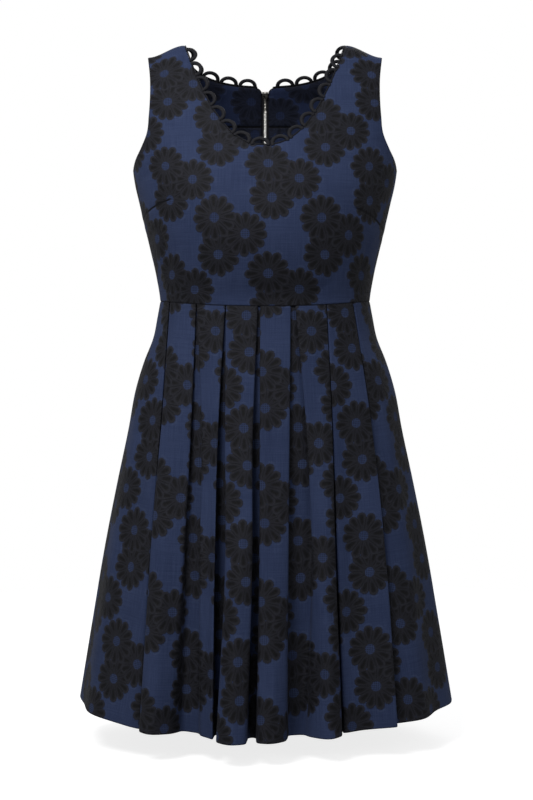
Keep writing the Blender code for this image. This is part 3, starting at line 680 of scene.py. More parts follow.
class Graph:
    """Adds shader nodes to a tree and joins them, by socket or by plain value."""

    def __init__(self, tree: NodeTree) -> None:
        """Keep the tree that the nodes go in."""
        self.tree = tree

    def add(self, kind: str, *values: object, **settings: object) -> Node:
        """A node of a kind, with its first inputs and its settings."""
        node = self.tree.nodes.new(kind)
        for name, value in settings.items():
            setattr(node, name, value)
        for socket, value in zip(node.inputs, values):
            self.feed(socket, value)
        return node

    def feed(self, socket: NodeSocket, value: object) -> None:
        """Join a socket to another one, or set its plain value."""
        if isinstance(value, NodeSocket):
            self.tree.links.new(value, socket)
        elif value is not None:
            socket.default_value = value

    def math(self, operation: str, *values: object) -> NodeSocket:
        """A sum on numbers."""
        return self.add("ShaderNodeMath", *values, operation=operation).outputs[0]

    plus = partialmethod(math, "ADD")
    minus = partialmethod(math, "SUBTRACT")
    times = partialmethod(math, "MULTIPLY")
    least = partialmethod(math, "MINIMUM")
    most = partialmethod(math, "MAXIMUM")
    abs = partialmethod(math, "ABSOLUTE")
    sine = partialmethod(math, "SINE")

    def vector(self, operation: str, *values: object) -> NodeSocket:
        """A sum on vectors, giving its vector or its one number."""
        node = self.add("ShaderNodeVectorMath", *values, operation=operation)
        return node.outputs["Value" if operation in ("LENGTH", "DOT_PRODUCT") else "Vector"]

    def scaled(self, vector: object, factor: object) -> NodeSocket:
        """A vector times a number."""
        node = self.add("ShaderNodeVectorMath", vector, operation="SCALE")
        self.feed(node.inputs["Scale"], factor)
        return node.outputs["Vector"]

    def mix(self, factor: object, low: object, high: object, kind: str = "FLOAT") -> NodeSocket:
        """A value between two, as numbers, vectors or colours."""
        node = self.add("ShaderNodeMix", data_type=kind)
        index = {"FLOAT": 2, "VECTOR": 4, "RGBA": 6}[kind]
        self.feed(node.inputs[0], factor)
        self.feed(node.inputs[index], low)
        self.feed(node.inputs[index + 1], high)
        return node.outputs[{"FLOAT": 0, "VECTOR": 1, "RGBA": 2}[kind]]

    def span(self, value: object, low: float, high: float, start: float = 0.0, end: float = 1.0):
        """A smooth step from start to end as the value goes from low to high."""
        node = self.add("ShaderNodeMapRange", value, low, high, start, end, interpolation_type="SMOOTHSTEP")
        return node.outputs[0]

    def noise(self, place: object, scale: float, detail: float = 2.0, rough: float = 0.5):
        """Soft noise at a place, from 0 to 1."""
        node = self.add("ShaderNodeTexNoise")
        self.feed(node.inputs["Vector"], place)
        self.feed(node.inputs["Scale"], scale)
        self.feed(node.inputs["Detail"], detail)
        self.feed(node.inputs["Roughness"], rough)
        return node.outputs[0]

    def split(self, vector: object) -> list[NodeSocket]:
        """The X, Y and Z of a vector."""
        return list(self.add("ShaderNodeSeparateXYZ", vector).outputs)

    def combined(self, *values: object) -> NodeSocket:
        """A vector of its X, Y and Z."""
        return self.add("ShaderNodeCombineXYZ", *values).outputs[0]

    def attribute(self, name: str) -> NodeSocket:
        """A named number of the piece's own mesh."""
        return self.add("ShaderNodeAttribute", attribute_name=name).outputs["Fac"]

    def group(self, tree: NodeTree, **values: object) -> Node:
        """A group node, with inputs named by words joined with underscores."""
        node = self.add("ShaderNodeGroup", node_tree=tree)
        for name, value in values.items():
            self.feed(node.inputs[name.replace("_", " ").title()], value)
        return node

    def bump(self, height: object) -> NodeSocket:
        """A normal from a height in metres."""
        node = self.add("ShaderNodeBump")
        self.feed(node.inputs["Distance"], 1.0)
        self.feed(node.inputs["Height"], height)
        return node.outputs[0]


def paint(g: Graph, shader: Node, colour: object, rough: object, height: object) -> None:
    """Feed a shader its colour, its roughness and a normal from a height in metres."""
    for label, value in (("Base Color", colour), ("Roughness", rough), ("Normal", g.bump(height))):
        g.feed(shader.inputs[label], value)


def new_group(name: str, inputs: dict[str, object], outputs: tuple[str, ...]):
    """An empty shader group with named sockets.

    Args:
        name: The group's name.
        inputs: Socket names and their values; three numbers make a vector.
        outputs: Names of the numbers that it puts out.

    Returns:
        The graph on its tree, and its input and output nodes.
    """
    tree = bpy.data.node_groups.new(name, "ShaderNodeTree")
    for label, value in inputs.items():
        kind = "NodeSocketVector" if isinstance(value, tuple) else "NodeSocketFloat"
        socket = tree.interface.new_socket(label, in_out="INPUT", socket_type=kind)
        socket.default_value = value
    for label in outputs:
        tree.interface.new_socket(label, in_out="OUTPUT", socket_type="NodeSocketFloat")
    graph = Graph(tree)
    return graph, graph.add("NodeGroupInput").outputs, graph.add("NodeGroupOutput").inputs


@dataclass(frozen=True)
class DaisyMotif:
    """One daisy of the cloth, by shares of its radius."""

    petals: int = 12
    petal_length: float = 0.78
    length_change: float = 0.07
    petal_round: float = 0.195
    core: float = 0.21
    stroke: float = 0.72

    def group(self) -> NodeTree:
        """The shader group that lays one daisy of each repeat over what lies under it."""
        under = ("Petals", "Lines", "Rim", "Core", "Arcs")
        values = {
            "Place": (0.0, 0.0, 0.0), "Repeat": (0.138, 0.144, 1.0), "Centre": (0.0, 0.0, 0.0),
            "Radius": 0.026, "Turn": 0.0, "Kind": 0.0,
        }
        values.update({"Under " + name: 0.0 for name in under})
        g, given, out = new_group("Daisy", values, under)
        from_centre = g.vector("SUBTRACT", given["Place"], given["Centre"])
        half = g.scaled(given["Repeat"], 0.5)
        minus_half = g.scaled(given["Repeat"], -0.5)
        near = g.vector("WRAP", from_centre, half, minus_half)
        drop = g.vector("WRAP", g.vector("ADD", from_centre, half), half, minus_half)
        flatten = (1.0, 1.0, 0.0)
        near, drop = (g.vector("MULTIPLY", place, flatten) for place in (near, drop))
        near_far, drop_far = g.vector("LENGTH", near), g.vector("LENGTH", drop)
        use_drop = g.math("LESS_THAN", drop_far, near_far)
        local = g.mix(use_drop, near, drop, "VECTOR")
        kind = g.plus(given["Kind"], use_drop)
        local = g.split(local)
        wobble = g.noise(given["Place"], 90.0, 1.0)
        far = g.math("DIVIDE", g.least(near_far, drop_far), given["Radius"])
        far = g.plus(far, g.times(g.minus(wobble, 0.5), 0.05))
        turn = g.plus(g.math("ARCTAN2", local[1], local[0]), given["Turn"])
        sector = g.plus(g.times(turn, self.petals / math.tau), 4.0 * self.petals)
        number = g.math("FLOORED_MODULO", g.math("FLOOR", sector), float(self.petals))
        angle = g.minus(g.math("FRACT", sector), 0.5)
        angle = g.times(angle, math.tau / self.petals)
        chance = g.add("ShaderNodeTexWhiteNoise", g.combined(number, kind), noise_dimensions="2D")
        luck = chance.outputs["Value"]
        length = g.plus(self.petal_length - self.length_change / 2, g.times(luck, self.length_change))
        # distance to the round end of the petal, by the law of cosines
        square = g.plus(g.times(far, far), g.times(length, length))
        cross = g.times(g.times(far, length), g.math("COSINE", angle))
        end = g.math("SQRT", g.most(g.minus(square, g.times(cross, 2.0)), 0.0))
        outside = g.least(g.minus(end, self.petal_round), g.minus(far, length))
        ragged = g.minus(g.noise(given["Place"], 850.0, 1.0), 0.5)
        outside = g.plus(outside, g.times(ragged, 0.11))
        petals = g.span(outside, 0.02, -0.012)
        # a dark oval inside each petal
        beside = g.times(g.abs(g.sine(angle)), length)
        past = g.math("GREATER_THAN", far, length)
        inner = g.plus(g.mix(past, beside, end), g.times(ragged, 0.09))
        stroke = g.times(g.span(inner, self.petal_round * self.stroke, 0.03), g.span(far, 0.36, 0.56))
        thin = g.times(far, g.sine(g.minus(math.pi / self.petals, g.abs(angle))))
        gap = g.times(g.span(thin, 0.034, 0.008), g.span(far, 0.24, 0.34))
        lines = g.most(stroke, g.times(gap, 0.6))
        rim = g.times(g.span(outside, -0.085, -0.05), g.span(outside, 0.0, -0.03))
        core = g.span(far, self.core + 0.02, self.core - 0.02)
        arc = g.times(g.span(outside, 0.03, 0.055), g.span(outside, 0.12, 0.08))
        arc = g.times(arc, g.span(luck, 0.35, 0.75))
        arc = g.times(arc, g.span(g.abs(angle), 0.2, 0.12))
        arc = g.times(arc, g.span(far, 1.3, 1.1))
        over = g.minus(1.0, petals)
        g.feed(out["Petals"], g.most(given["Under Petals"], petals))
        for label, value in (("Lines", lines), ("Rim", rim), ("Core", core)):
            own = g.times(value, petals)
            g.feed(out[label], g.plus(own, g.times(given["Under " + label], over)))
        kept = g.times(g.most(given["Under Arcs"], arc), over)
        g.feed(out["Arcs"], g.times(kept, g.minus(1.0, given["Under Petals"])))
        return g.tree


@dataclass(frozen=True)
class ClothWeave:
    """The slubbed weave: how far apart its threads lie and how long its slubs run."""

    thread: float = 0.0011
    slub_length: float = 0.045
    slub_width: float = 0.0009

    def group(self) -> NodeTree:
        """The shader group of the weave: its tone, its long slubs and its height."""
        g, given, out = new_group("Weave", {"Place": (0.0, 0.0, 0.0)}, ("Tone", "Slubs", "Height"))
        waves = [g.sine(g.times(part, math.tau / self.thread)) for part in g.split(given["Place"])[:2]]
        height = g.times(*waves)
        slubs = []
        for across, lengthwise in ((0, 1), (1, 0)):
            stretch = [0.0, 0.0, 0.0]
            stretch[across], stretch[lengthwise] = 1 / self.slub_width, 1 / self.slub_length
            place = g.vector("MULTIPLY", given["Place"], tuple(stretch))
            slubs.append(g.noise(place, 1.0, 2.0, 0.6))
        both = g.times(g.plus(*slubs), 0.5)
        g.feed(out["Slubs"], g.span(both, 0.36, 0.66))
        speck = g.noise(given["Place"], 900.0, 1.0)
        g.feed(out["Tone"], g.span(speck, 0.3, 0.7))
        g.feed(out["Height"], g.plus(g.times(height, 0.5), g.times(both, 1.4)))
        return g.tree


# -------- finishes

Colour = tuple[float, float, float, float]


def shade(red: float, green: float, blue: float) -> Colour:
    """A solid colour."""
    return (red, green, blue, 1.0)


@dataclass(frozen=True)
class Finish:
    """A finish's name and the constants of its shader."""

    name: str
    roughness: float = 0.7
    metallic: float = 0.0
    sheen: float = 0.0
    specular: float = 0.35

    def start(self) -> tuple[Material, Graph, Node]:
        """A new material with its shader's constants set."""
        made = bpy.data.materials.new(self.name)
        made.use_nodes = True
        shader = made.node_tree.nodes["Principled BSDF"]
        for label, value in (
            ("Roughness", self.roughness), ("Metallic", self.metallic), ("Sheen Weight", self.sheen),
            ("Sheen Roughness", 0.45), ("Specular IOR Level", self.specular),
        ):
            shader.inputs[label].default_value = value
        return made, Graph(made.node_tree), shader


@dataclass(frozen=True)
class DaisyCloth(Finish):
    """The figured cloth: a slubbed ground with clusters of three daisies in a half drop."""

    ground: Colour = shade(0.013, 0.0215, 0.057)
    ground_light: Colour = shade(0.032, 0.0465, 0.104)
    petal: Colour = shade(0.0066, 0.007, 0.0108)
    petal_light: Colour = shade(0.0172, 0.0175, 0.024)
    line: Colour = shade(0.003, 0.0029, 0.0038)
    arc: Colour = shade(0.04, 0.054, 0.105)
    # painted shade, laid along darts and cut edges where the cloth folds in
    seam: Colour = shade(0.001, 0.0012, 0.003)
    relief: float = 0.0004
    weave_relief: float = 0.00012
    groove_depth: float = 0.0006
    repeat: tuple[float, float, float] = (0.138, 0.144, 1.0)
    start_place: tuple[float, float] = (0.004, 0.178)
    cluster: Table = Table(
        ("x", "up", "radius", "turn"),
        ((0.005, -0.047, 0.0298, 0.1), (0.04, -0.021, 0.0292, 0.31), (0.0, 0.0, 0.03, 0.22)),
    )

    def build(self, daisy: NodeTree, weave: NodeTree) -> Material:
        """Make the material from the shared daisy and weave groups."""
        made, g, shader = self.start()
        place = g.add("ShaderNodeUVMap", uv_map="cut").outputs[0]
        below = g.math("LESS_THAN", g.attribute("dart"), 0.0)
        moved = g.combined(0.0, g.times(below, g.attribute("shift")))
        place = g.vector("ADD", place, moved)
        cloth = g.group(weave, place=place).outputs
        layer: dict[str, object] = {}
        for kind, (x, up, radius, turn) in enumerate(self.cluster.rows):
            centre = (self.start_place[0] + x, self.start_place[1] + up, 0.0)
            flower = g.group(
                daisy, place=place, repeat=self.repeat, centre=centre,
                radius=radius, turn=turn, kind=float(kind * 7), **layer,
            )
            layer = {"under_" + out.name.lower(): out for out in flower.outputs}
        drawn = {name[6:]: socket for name, socket in layer.items()}
        across, up = g.split(place)[:2]
        hatch = self.hatching(g, across, up)
        slubs, tone = cloth["Slubs"], cloth["Tone"]
        clouds = g.span(g.noise(place, 14.0, 2.0), 0.3, 0.7)
        light = g.plus(g.times(slubs, 0.5), g.times(tone, 0.25))
        light = g.plus(light, g.times(clouds, 0.25))
        ground = g.mix(light, self.ground, self.ground_light, "RGBA")
        ground = g.mix(g.times(drawn["arcs"], 0.38), ground, self.arc, "RGBA")
        dark = g.plus(g.times(hatch, 0.5), g.times(tone, 0.4))
        petal = g.mix(dark, self.petal, self.petal_light, "RGBA")
        petal = g.mix(g.times(drawn["rim"], 0.55), petal, self.petal_light, "RGBA")
        petal = g.mix(g.times(drawn["lines"], 0.9), petal, self.line, "RGBA")
        weft = g.times(self.zigzag(g, across, up), 0.75)
        core = g.mix(weft, ground, self.petal, "RGBA")
        petal = g.mix(drawn["core"], petal, core, "RGBA")
        colour = g.mix(drawn["petals"], ground, petal, "RGBA")
        # painted shade: the cloth is darkened along darts and within a millimetre of its cut edges
        seam, groove = self.seams(g)
        colour = g.mix(seam, colour, self.seam, "RGBA")
        satin = g.times(g.minus(drawn["petals"], drawn["core"]), -0.16)
        rough = g.plus(satin, g.times(tone, 0.12))
        rough = g.plus(rough, self.roughness - 0.06)
        raised = g.minus(drawn["petals"], g.times(drawn["lines"], 0.8))
        raised = g.minus(raised, g.times(drawn["core"], 0.5))
        raised = g.plus(raised, g.times(hatch, 0.18))
        height = g.times(raised, self.relief)
        height = g.plus(height, g.times(cloth["Height"], self.weave_relief))
        height = g.minus(height, g.times(groove, self.groove_depth))
        paint(g, shader, colour, rough, height)
        return made

    @staticmethod
    def hatching(g: Graph, across: NodeSocket, up: NodeSocket) -> NodeSocket:
        """Slanted thread floats on the petals."""
        slant = g.plus(across, g.times(up, 1.6))
        return g.span(g.sine(g.times(slant, math.tau / 0.0024)), -0.4, 0.9)

    @staticmethod
    def zigzag(g: Graph, across: NodeSocket, up: NodeSocket) -> NodeSocket:
        """The crossed dark threads in the middle of a daisy."""
        first, second = (
            g.sine(g.times(slant, math.tau / 0.0046)) for slant in (g.plus(across, up), g.minus(across, up))
        )
        return g.span(g.times(first, second), 0.05, 0.35)

    @staticmethod
    def seams(g: Graph) -> tuple[NodeSocket, NodeSocket]:
        """Painted shade: a dark line along darts and cut edges, and the groove of the darts."""
        shown = g.span(g.attribute("shift"), 0.00003, 0.0005)
        off = g.abs(g.attribute("dart"))
        dart = g.times(g.span(off, 0.0017, 0.0008), shown)
        groove = g.times(g.span(off, 0.0035, 0.0), shown)
        edge = g.times(g.span(g.attribute("edge"), 0.0011, 0.0002), 0.8)
        return g.most(dart, edge), groove


@dataclass(frozen=True)
class SmallFinish(Finish):
    """A finish of the small pieces: a pattern between two colours."""

    base: Colour = shade(0.003, 0.0031, 0.0045)
    over: Colour = shade(0.011, 0.011, 0.015)

    def build(self) -> Material:
        """Make the material."""
        made, g, shader = self.start()
        mix, rough, height = self.pattern(g)
        paint(g, shader, g.mix(mix, self.base, self.over, "RGBA"), rough, height)
        return made

    def place(self, g: Graph) -> NodeSocket:
        """The place on the piece."""
        return g.add("ShaderNodeTexCoord").outputs["Object"]


@dataclass(frozen=True)
class CordFinish(SmallFinish):
    """A dull ribbed cord."""

    rib: float = 0.0011

    def pattern(self, g: Graph) -> tuple[NodeSocket, ...]:
        """The mix, roughness and height of slanted ribs with a little fuzz."""
        ribs = g.add("ShaderNodeTexWave", wave_type="BANDS", bands_direction="DIAGONAL")
        for label, value in (("Vector", self.place(g)), ("Scale", 0.32 / self.rib), ("Distortion", 1.5)):
            g.feed(ribs.inputs[label], value)
        fuzz = g.noise(self.place(g), 1500.0, 1.0)
        tone = g.times(g.plus(ribs.outputs["Fac"], fuzz), 0.5)
        return tone, g.plus(self.roughness - 0.1, g.times(fuzz, 0.2)), g.times(tone, 0.0003)


@dataclass(frozen=True)
class TapeFinish(SmallFinish):
    """Woven zip tape with lengthwise ribs."""

    base: Colour = shade(0.0045, 0.0048, 0.0068)
    over: Colour = shade(0.014, 0.014, 0.019)
    rib: float = 0.0008

    def pattern(self, g: Graph) -> tuple[NodeSocket, ...]:
        """The mix, roughness and height of ribs crossed by finer ones."""
        across, up = g.split(g.add("ShaderNodeUVMap", uv_map="cut").outputs[0])[:2]
        fine = g.sine(g.times(up, math.tau / (self.rib * 0.7)))
        height = g.plus(g.sine(g.times(across, math.tau / self.rib)), g.times(fine, 0.5))
        rough = g.span(height, -1.5, 1.5, self.roughness, self.roughness - 0.15)
        return g.span(height, -1.5, 1.5), rough, g.times(height, 0.00008)


@dataclass(frozen=True)
class MetalFinish(SmallFinish):
    """Pale polished metal with fine wear."""

    base: Colour = shade(0.8, 0.78, 0.73)
    over: Colour = shade(0.46, 0.44, 0.4)

    def pattern(self, g: Graph) -> tuple[NodeSocket, ...]:
        """The mix, roughness and height of dull patches and upright scratches."""
        wear = g.span(g.noise(self.place(g), 420.0, 3.0), 0.35, 0.7)
        scratch = g.noise(g.vector("MULTIPLY", self.place(g), (900.0, 900.0, 60.0)), 1.0, 2.0)
        return wear, g.plus(self.roughness, g.times(wear, 0.18)), g.times(scratch, 0.00002)


@dataclass(frozen=True)
class ThreadFinish(SmallFinish):
    """Twisted sewing thread."""

    base: Colour = shade(0.006, 0.007, 0.013)
    over: Colour = shade(0.022, 0.025, 0.042)

    def pattern(self, g: Graph) -> tuple[NodeSocket, ...]:
        """The mix, roughness and height of a fine twist."""
        twist = g.noise(self.place(g), 2600.0, 1.0)
        return twist, g.span(twist, 0.2, 0.8, self.roughness - 0.1, self.roughness), g.times(twist, 0.00006)


@dataclass(frozen=True)
class FloorFinish(Finish):
    """The pale studio floor."""

    pale: Colour = shade(0.42, 0.42, 0.42)
    paler: Colour = shade(0.44, 0.44, 0.44)
    glow: float = 0.8

    def build(self) -> Material:
        """Make the material."""
        made, g, shader = self.start()
        place = g.add("ShaderNodeTexCoord").outputs["Object"]
        g.feed(shader.inputs["Base Color"], g.mix(g.noise(place, 3.0), self.pale, self.paler, "RGBA"))
        seen = g.add("ShaderNodeLightPath").outputs["Is Camera Ray"]
        glow = g.mix(seen, shade(0.0, 0.0, 0.0), shade(1.0, 1.0, 1.0), "RGBA")
        g.feed(shader.inputs["Emission Color"], glow)
        shader.inputs["Emission Strength"].default_value = self.glow
        return made


class Finishes:
    """All the finishes of the dress, each built once."""

    def __init__(self) -> None:
        """Build the shared groups and the materials."""
        daisy, weave = DaisyMotif().group(), ClothWeave().group()
        cloth = DaisyCloth("daisy_cloth", roughness=0.8, sheen=0.015, specular=0.14)
        self.cloth = cloth.build(daisy, weave)
        self.skirt = replace(cloth, name="daisy_cloth_skirt", start_place=(0.03, 0.06)).build(daisy, weave)
        # painted shade: the facing's finish is the same cloth made darker, with less contrast in its print,
        # for the shade inside the back neck
        self.facing = replace(
            cloth, name="daisy_cloth_facing", start_place=(0.05, 0.07), relief=0.0003,
            ground=shade(0.0125, 0.02, 0.054), ground_light=shade(0.02, 0.03, 0.074),
            petal=shade(0.008, 0.0105, 0.0215), petal_light=shade(0.015, 0.0185, 0.036),
            line=shade(0.0058, 0.0072, 0.014),
        ).build(daisy, weave)
        self.lining = replace(
            cloth, name="cloth_reverse", sheen=0.0, relief=0.0002,
            ground=shade(0.005, 0.0056, 0.0095), ground_light=shade(0.0085, 0.0095, 0.015),
            petal=shade(0.008, 0.0115, 0.026), petal_light=shade(0.012, 0.0165, 0.034),
            line=shade(0.004, 0.0048, 0.0085), arc=shade(0.006, 0.0066, 0.011),
        ).build(daisy, weave)
        self.cord = CordFinish("neck_cord", roughness=0.68, specular=0.2).build()
        self.tape = TapeFinish("zip_tape_weave", roughness=0.85).build()
        self.metal = MetalFinish("zip_metal", roughness=0.26, metallic=1.0, specular=0.5).build()
        self.thread = ThreadFinish("sewing_thread", roughness=0.6).build()
        self.floor = FloorFinish("studio_floor", roughness=0.9, specular=0.1).build()


# -------- repeated small pieces


class Repeats:
    """Geometry nodes that set copies of a small shape on the points of a line.

    A line is a mesh of points in order. Its vector attributes "along" and "away" say how a
    copy is turned, and its number attribute "set" says which points carry one.
    """

    def __init__(self, name: str, sizes: dict[str, float], shape: Object | None) -> None:
        """Build the tree.

        Args:
            name: The tree's name.
            sizes: Named sizes and their values.
            shape: The shape to copy; without one, the copies are arches of cord on a thin cord.
        """
        self.sizes, self.shape = sizes, shape
        tree = bpy.data.node_groups.new(name, "GeometryNodeTree")
        tree.is_modifier = True
        kinds = {"Geometry": "Geometry", **{label: "Float" for label in sizes}}
        kinds |= {"Seed": "Int", "Finish": "Material", "Shape": "Object"}
        self.sockets = {
            label: tree.interface.new_socket(label, in_out="INPUT", socket_type="NodeSocket" + kind)
            for label, kind in kinds.items()
        }
        tree.interface.new_socket("Geometry", in_out="OUTPUT", socket_type="NodeSocketGeometry")
        self.tree = tree
        self.given = tree.nodes.new("NodeGroupInput").outputs
        copies = self.copies(self.arch() if shape is None else self.piece())
        if shape is None:
            joined = self.node("GeometryNodeJoinGeometry")
            for part in (copies, self.thin_cord()):
                tree.links.new(part, joined.inputs[0])
            copies = joined.outputs[0]
        real = self.out("RealizeInstances", Geometry=copies)
        soft = self.out("SetShadeSmooth", Geometry=real)
        done = self.out("SetMaterial", Geometry=soft, Material=self.given["Finish"])
        tree.links.new(done, tree.nodes.new("NodeGroupOutput").inputs[0])

    def out(self, kind: str, **values: object) -> NodeSocket:
        """The first output of a geometry node with its inputs."""
        return self.node("GeometryNode" + kind, **values).outputs[0]

    def node(self, kind: str, settings: dict[str, object] | None = None, **values: object) -> Node:
        """A node with its settings and its inputs, named with spaces left out."""
        node = self.tree.nodes.new(kind)
        for name, value in (settings or {}).items():
            setattr(node, name, value)
        for socket in node.inputs:
            value = values.get(socket.name.replace(" ", "")) if socket.enabled else None
            if isinstance(value, NodeSocket):
                self.tree.links.new(value, socket)
            elif value is not None:
                socket.default_value = value
        return node

    def arch(self) -> NodeSocket:
        """A round arch of flattened cord, standing in X and Z, its feet a little below 0."""
        arc = self.out(
            "CurveArc", Resolution=15, Radius=self.given["Arch Radius"],
            StartAngle=-0.16, SweepAngle=math.pi + 0.32,
        )
        height = self.node("ShaderNodeCombineXYZ", X=1.0, Y=self.given["Arch Height"], Z=1.0)
        low = self.out("Transform", Geometry=arc, Scale=height.outputs[0])
        tube = self.tube(low, self.given["Cord Radius"], 8, 0.8)
        return self.out("Transform", Geometry=tube, Rotation=(math.pi / 2, 0.0, 0.0))

    def thin_cord(self) -> NodeSocket:
        """A thin cord along the whole line."""
        line = self.out("MeshToCurve", Mesh=self.given["Geometry"])
        return self.tube(line, self.given["Band Radius"], 6, 1.0)

    def tube(self, curve: NodeSocket, radius: NodeSocket, sides: int, flat: float) -> NodeSocket:
        """A closed tube round a curve.

        Args:
            curve: The curve.
            radius: The tube's radius.
            sides: How many sides it has.
            flat: The share of its height that is kept.

        Returns:
            The tube's geometry.
        """
        ring = self.out("CurvePrimitiveCircle", Resolution=sides, Radius=radius)
        ring = self.out("Transform", Geometry=ring, Scale=(1.0, flat, 1.0))
        return self.out("CurveToMesh", Curve=curve, ProfileCurve=ring, FillCaps=True)

    def piece(self) -> NodeSocket:
        """The shape to copy, scaled to its sizes."""
        info = self.node("GeometryNodeObjectInfo", Object=self.given["Shape"])
        sizes = {axis: self.given[key] for axis, key in (("X", "Length"), ("Y", "Width"), ("Z", "Height"))}
        size = self.node("ShaderNodeCombineXYZ", **sizes)
        return self.out("Transform", Geometry=info.outputs["Geometry"], Scale=size.outputs[0])

    def copies(self, shape: NodeSocket) -> NodeSocket:
        """Copies of a shape on the line's points, turned along it and a little uneven."""
        names = {
            key: self.node("GeometryNodeInputNamedAttribute", {"data_type": kind}, Name=key).outputs[0]
            for key, kind in (("along", "FLOAT_VECTOR"), ("away", "FLOAT_VECTOR"), ("set", "BOOLEAN"))
        }
        turn = self.node(
            "FunctionNodeAxesToRotation", {"primary_axis": "Z", "secondary_axis": "X"},
            PrimaryAxis=names["away"], SecondaryAxis=names["along"],
        )
        least = self.node("ShaderNodeMath", {"operation": "SUBTRACT"})
        least.inputs[0].default_value = 1.0
        self.tree.links.new(self.given["Unevenness"], least.inputs[1])
        chance = self.node(
            "FunctionNodeRandomValue", {"data_type": "FLOAT"},
            Min=least.outputs[0], Max=1.0, Seed=self.given["Seed"],
        )
        size = next(socket for socket in chance.outputs if socket.enabled)
        return self.out(
            "InstanceOnPoints", Points=self.given["Geometry"], Selection=names["set"],
            Instance=shape, Rotation=turn.outputs[0], Scale=size,
        )

    def run(self, name: str, line: "Line", finish: Material, seed: int) -> Object:
        """Lay the copies on a line and turn the result into a plain mesh.

        Args:
            name: The piece's name.
            line: Where the copies go.
            finish: Their finish.
            seed: The seed of their unevenness.

        Returns:
            The piece, with no modifier left.
        """
        guide = place_object(name + "_guide", line.mesh(name), [])
        modifier = guide.modifiers.new("repeats", "NODES")
        modifier.node_group = self.tree
        for label, value in (*self.sizes.items(), ("Seed", seed), ("Finish", finish), ("Shape", self.shape)):
            if value is not None:
                modifier[self.sockets[label].identifier] = value
        graph = bpy.context.evaluated_depsgraph_get()
        mesh = bpy.data.meshes.new_from_object(guide.evaluated_get(graph))
        mesh.name = name
        bpy.data.objects.remove(guide)
        return place_object(name, mesh, [finish])


@dataclass
class Line:
    """Points in order, the ways that a copy's length and top look, and which points carry one."""

    points: Array
    along: Array
    away: Array
    carries: Array | None = None

    def mesh(self, name: str) -> Mesh:
        """The line as a mesh with its attributes."""
        mesh = bpy.data.meshes.new(name + "_line")
        edges = [(index, index + 1) for index in range(len(self.points) - 1)]
        mesh.from_pydata(self.points.tolist(), edges, [])
        for key, values in (("along", self.along), ("away", self.away)):
            data = mesh.attributes.new(key, "FLOAT_VECTOR", "POINT").data
            data.foreach_set("vector", values.astype(np.float32).ravel())
        carries = np.ones(len(self.points), bool) if self.carries is None else self.carries
        mesh.attributes.new("set", "BOOLEAN", "POINT").data.foreach_set("value", carries)
        return mesh

    @staticmethod
    def spaced(points: Array, away: Array, pitch: float, phase: float = 0.5) -> "Line":
        """Evenly spaced stops on a line.

        Args:
            points: Points of the line.
            away: The outward direction at each point.
            pitch: The distance between stops.
            phase: The first stop's place, as a share of the pitch.

        Returns:
            The line of stops.
        """
        length = along(points)
        stops = np.arange(pitch * phase, length[-1], pitch)
        at, out = read_line(points, length, stops), read_line(away, length, stops)
        return Line(at, unit(np.gradient(at, axis=0)), unit(out))

    @staticmethod
    def joined(lines: list["Line"]) -> "Line":
        """Several lines of stops as one."""
        keys = ("points", "along", "away")
        return Line(*(np.concatenate([getattr(line, key) for line in lines]) for key in keys))


def small_shape(name: str, shape: Callable[[bmesh.types.BMesh], None]) -> Object:
    """A shape of size one that is copied, made by a function on an empty mesh."""
    mesh = bpy.data.meshes.new(name)
    builder = bmesh.new()
    shape(builder)
    builder.to_mesh(mesh)
    builder.free()
    return place_object(name, mesh, [])


def tooth_shape(builder: bmesh.types.BMesh) -> None:
    """A block with its edges taken off."""
    bmesh.ops.create_cube(builder, size=1.0)
    bmesh.ops.bevel(builder, geom=builder.edges, offset=0.16, segments=1, affect="EDGES")


def stitch_shape(builder: bmesh.types.BMesh) -> None:
    """A low bead that runs along X."""
    bmesh.ops.create_uvsphere(builder, u_segments=6, v_segments=5, radius=0.5)
    builder.transform(Vector((0, 1, 0)).to_track_quat("X", "Z").to_matrix().to_4x4())


def floor_shape(builder: bmesh.types.BMesh) -> None:
    """A round floor."""
    bmesh.ops.create_circle(builder, cap_ends=True, segments=64, radius=1.15)


# -------- bodice


def beside(points: Array, normals: Array, distance: float) -> Pair:
    """The line at a distance from a grid's first column, and the outward direction along it."""
    lengths = along(points, axis=1)
    at, away = (
        np.array([read_line(row, length, distance) for row, length in zip(grid, lengths)])
        for grid in (points, normals)
    )
    return at, unit(away)


@dataclass(frozen=True)
class Crease:
    """A soft trough or ridge on the bodice, from one angle and drop to another."""

    facing: Facing
    start: tuple[float, float]
    end: tuple[float, float]
    width: float
    depth: float

    def field(self, points: Array) -> Array:
        """How far the crease sets the cloth in at each point."""
        parts = np.linspace(0, 1, 15)
        angle = np.radians(self.start[0] + (self.end[0] - self.start[0]) * parts)
        drop = self.start[1] + (self.end[1] - self.start[1]) * parts
        line = FORM.point(angle, self.facing.value * np.sqrt(drop))
        gaps = np.linalg.norm(points[..., None, :] - line, axis=-1)
        near = gaps.min(axis=-1)
        part = gaps.argmin(axis=-1) / (len(parts) - 1)
        fade = np.sin(math.pi * np.clip(0.08 + 0.84 * part, 0, 1)) ** 0.8
        return self.depth * fade * np.exp(-((near / self.width) ** 2))


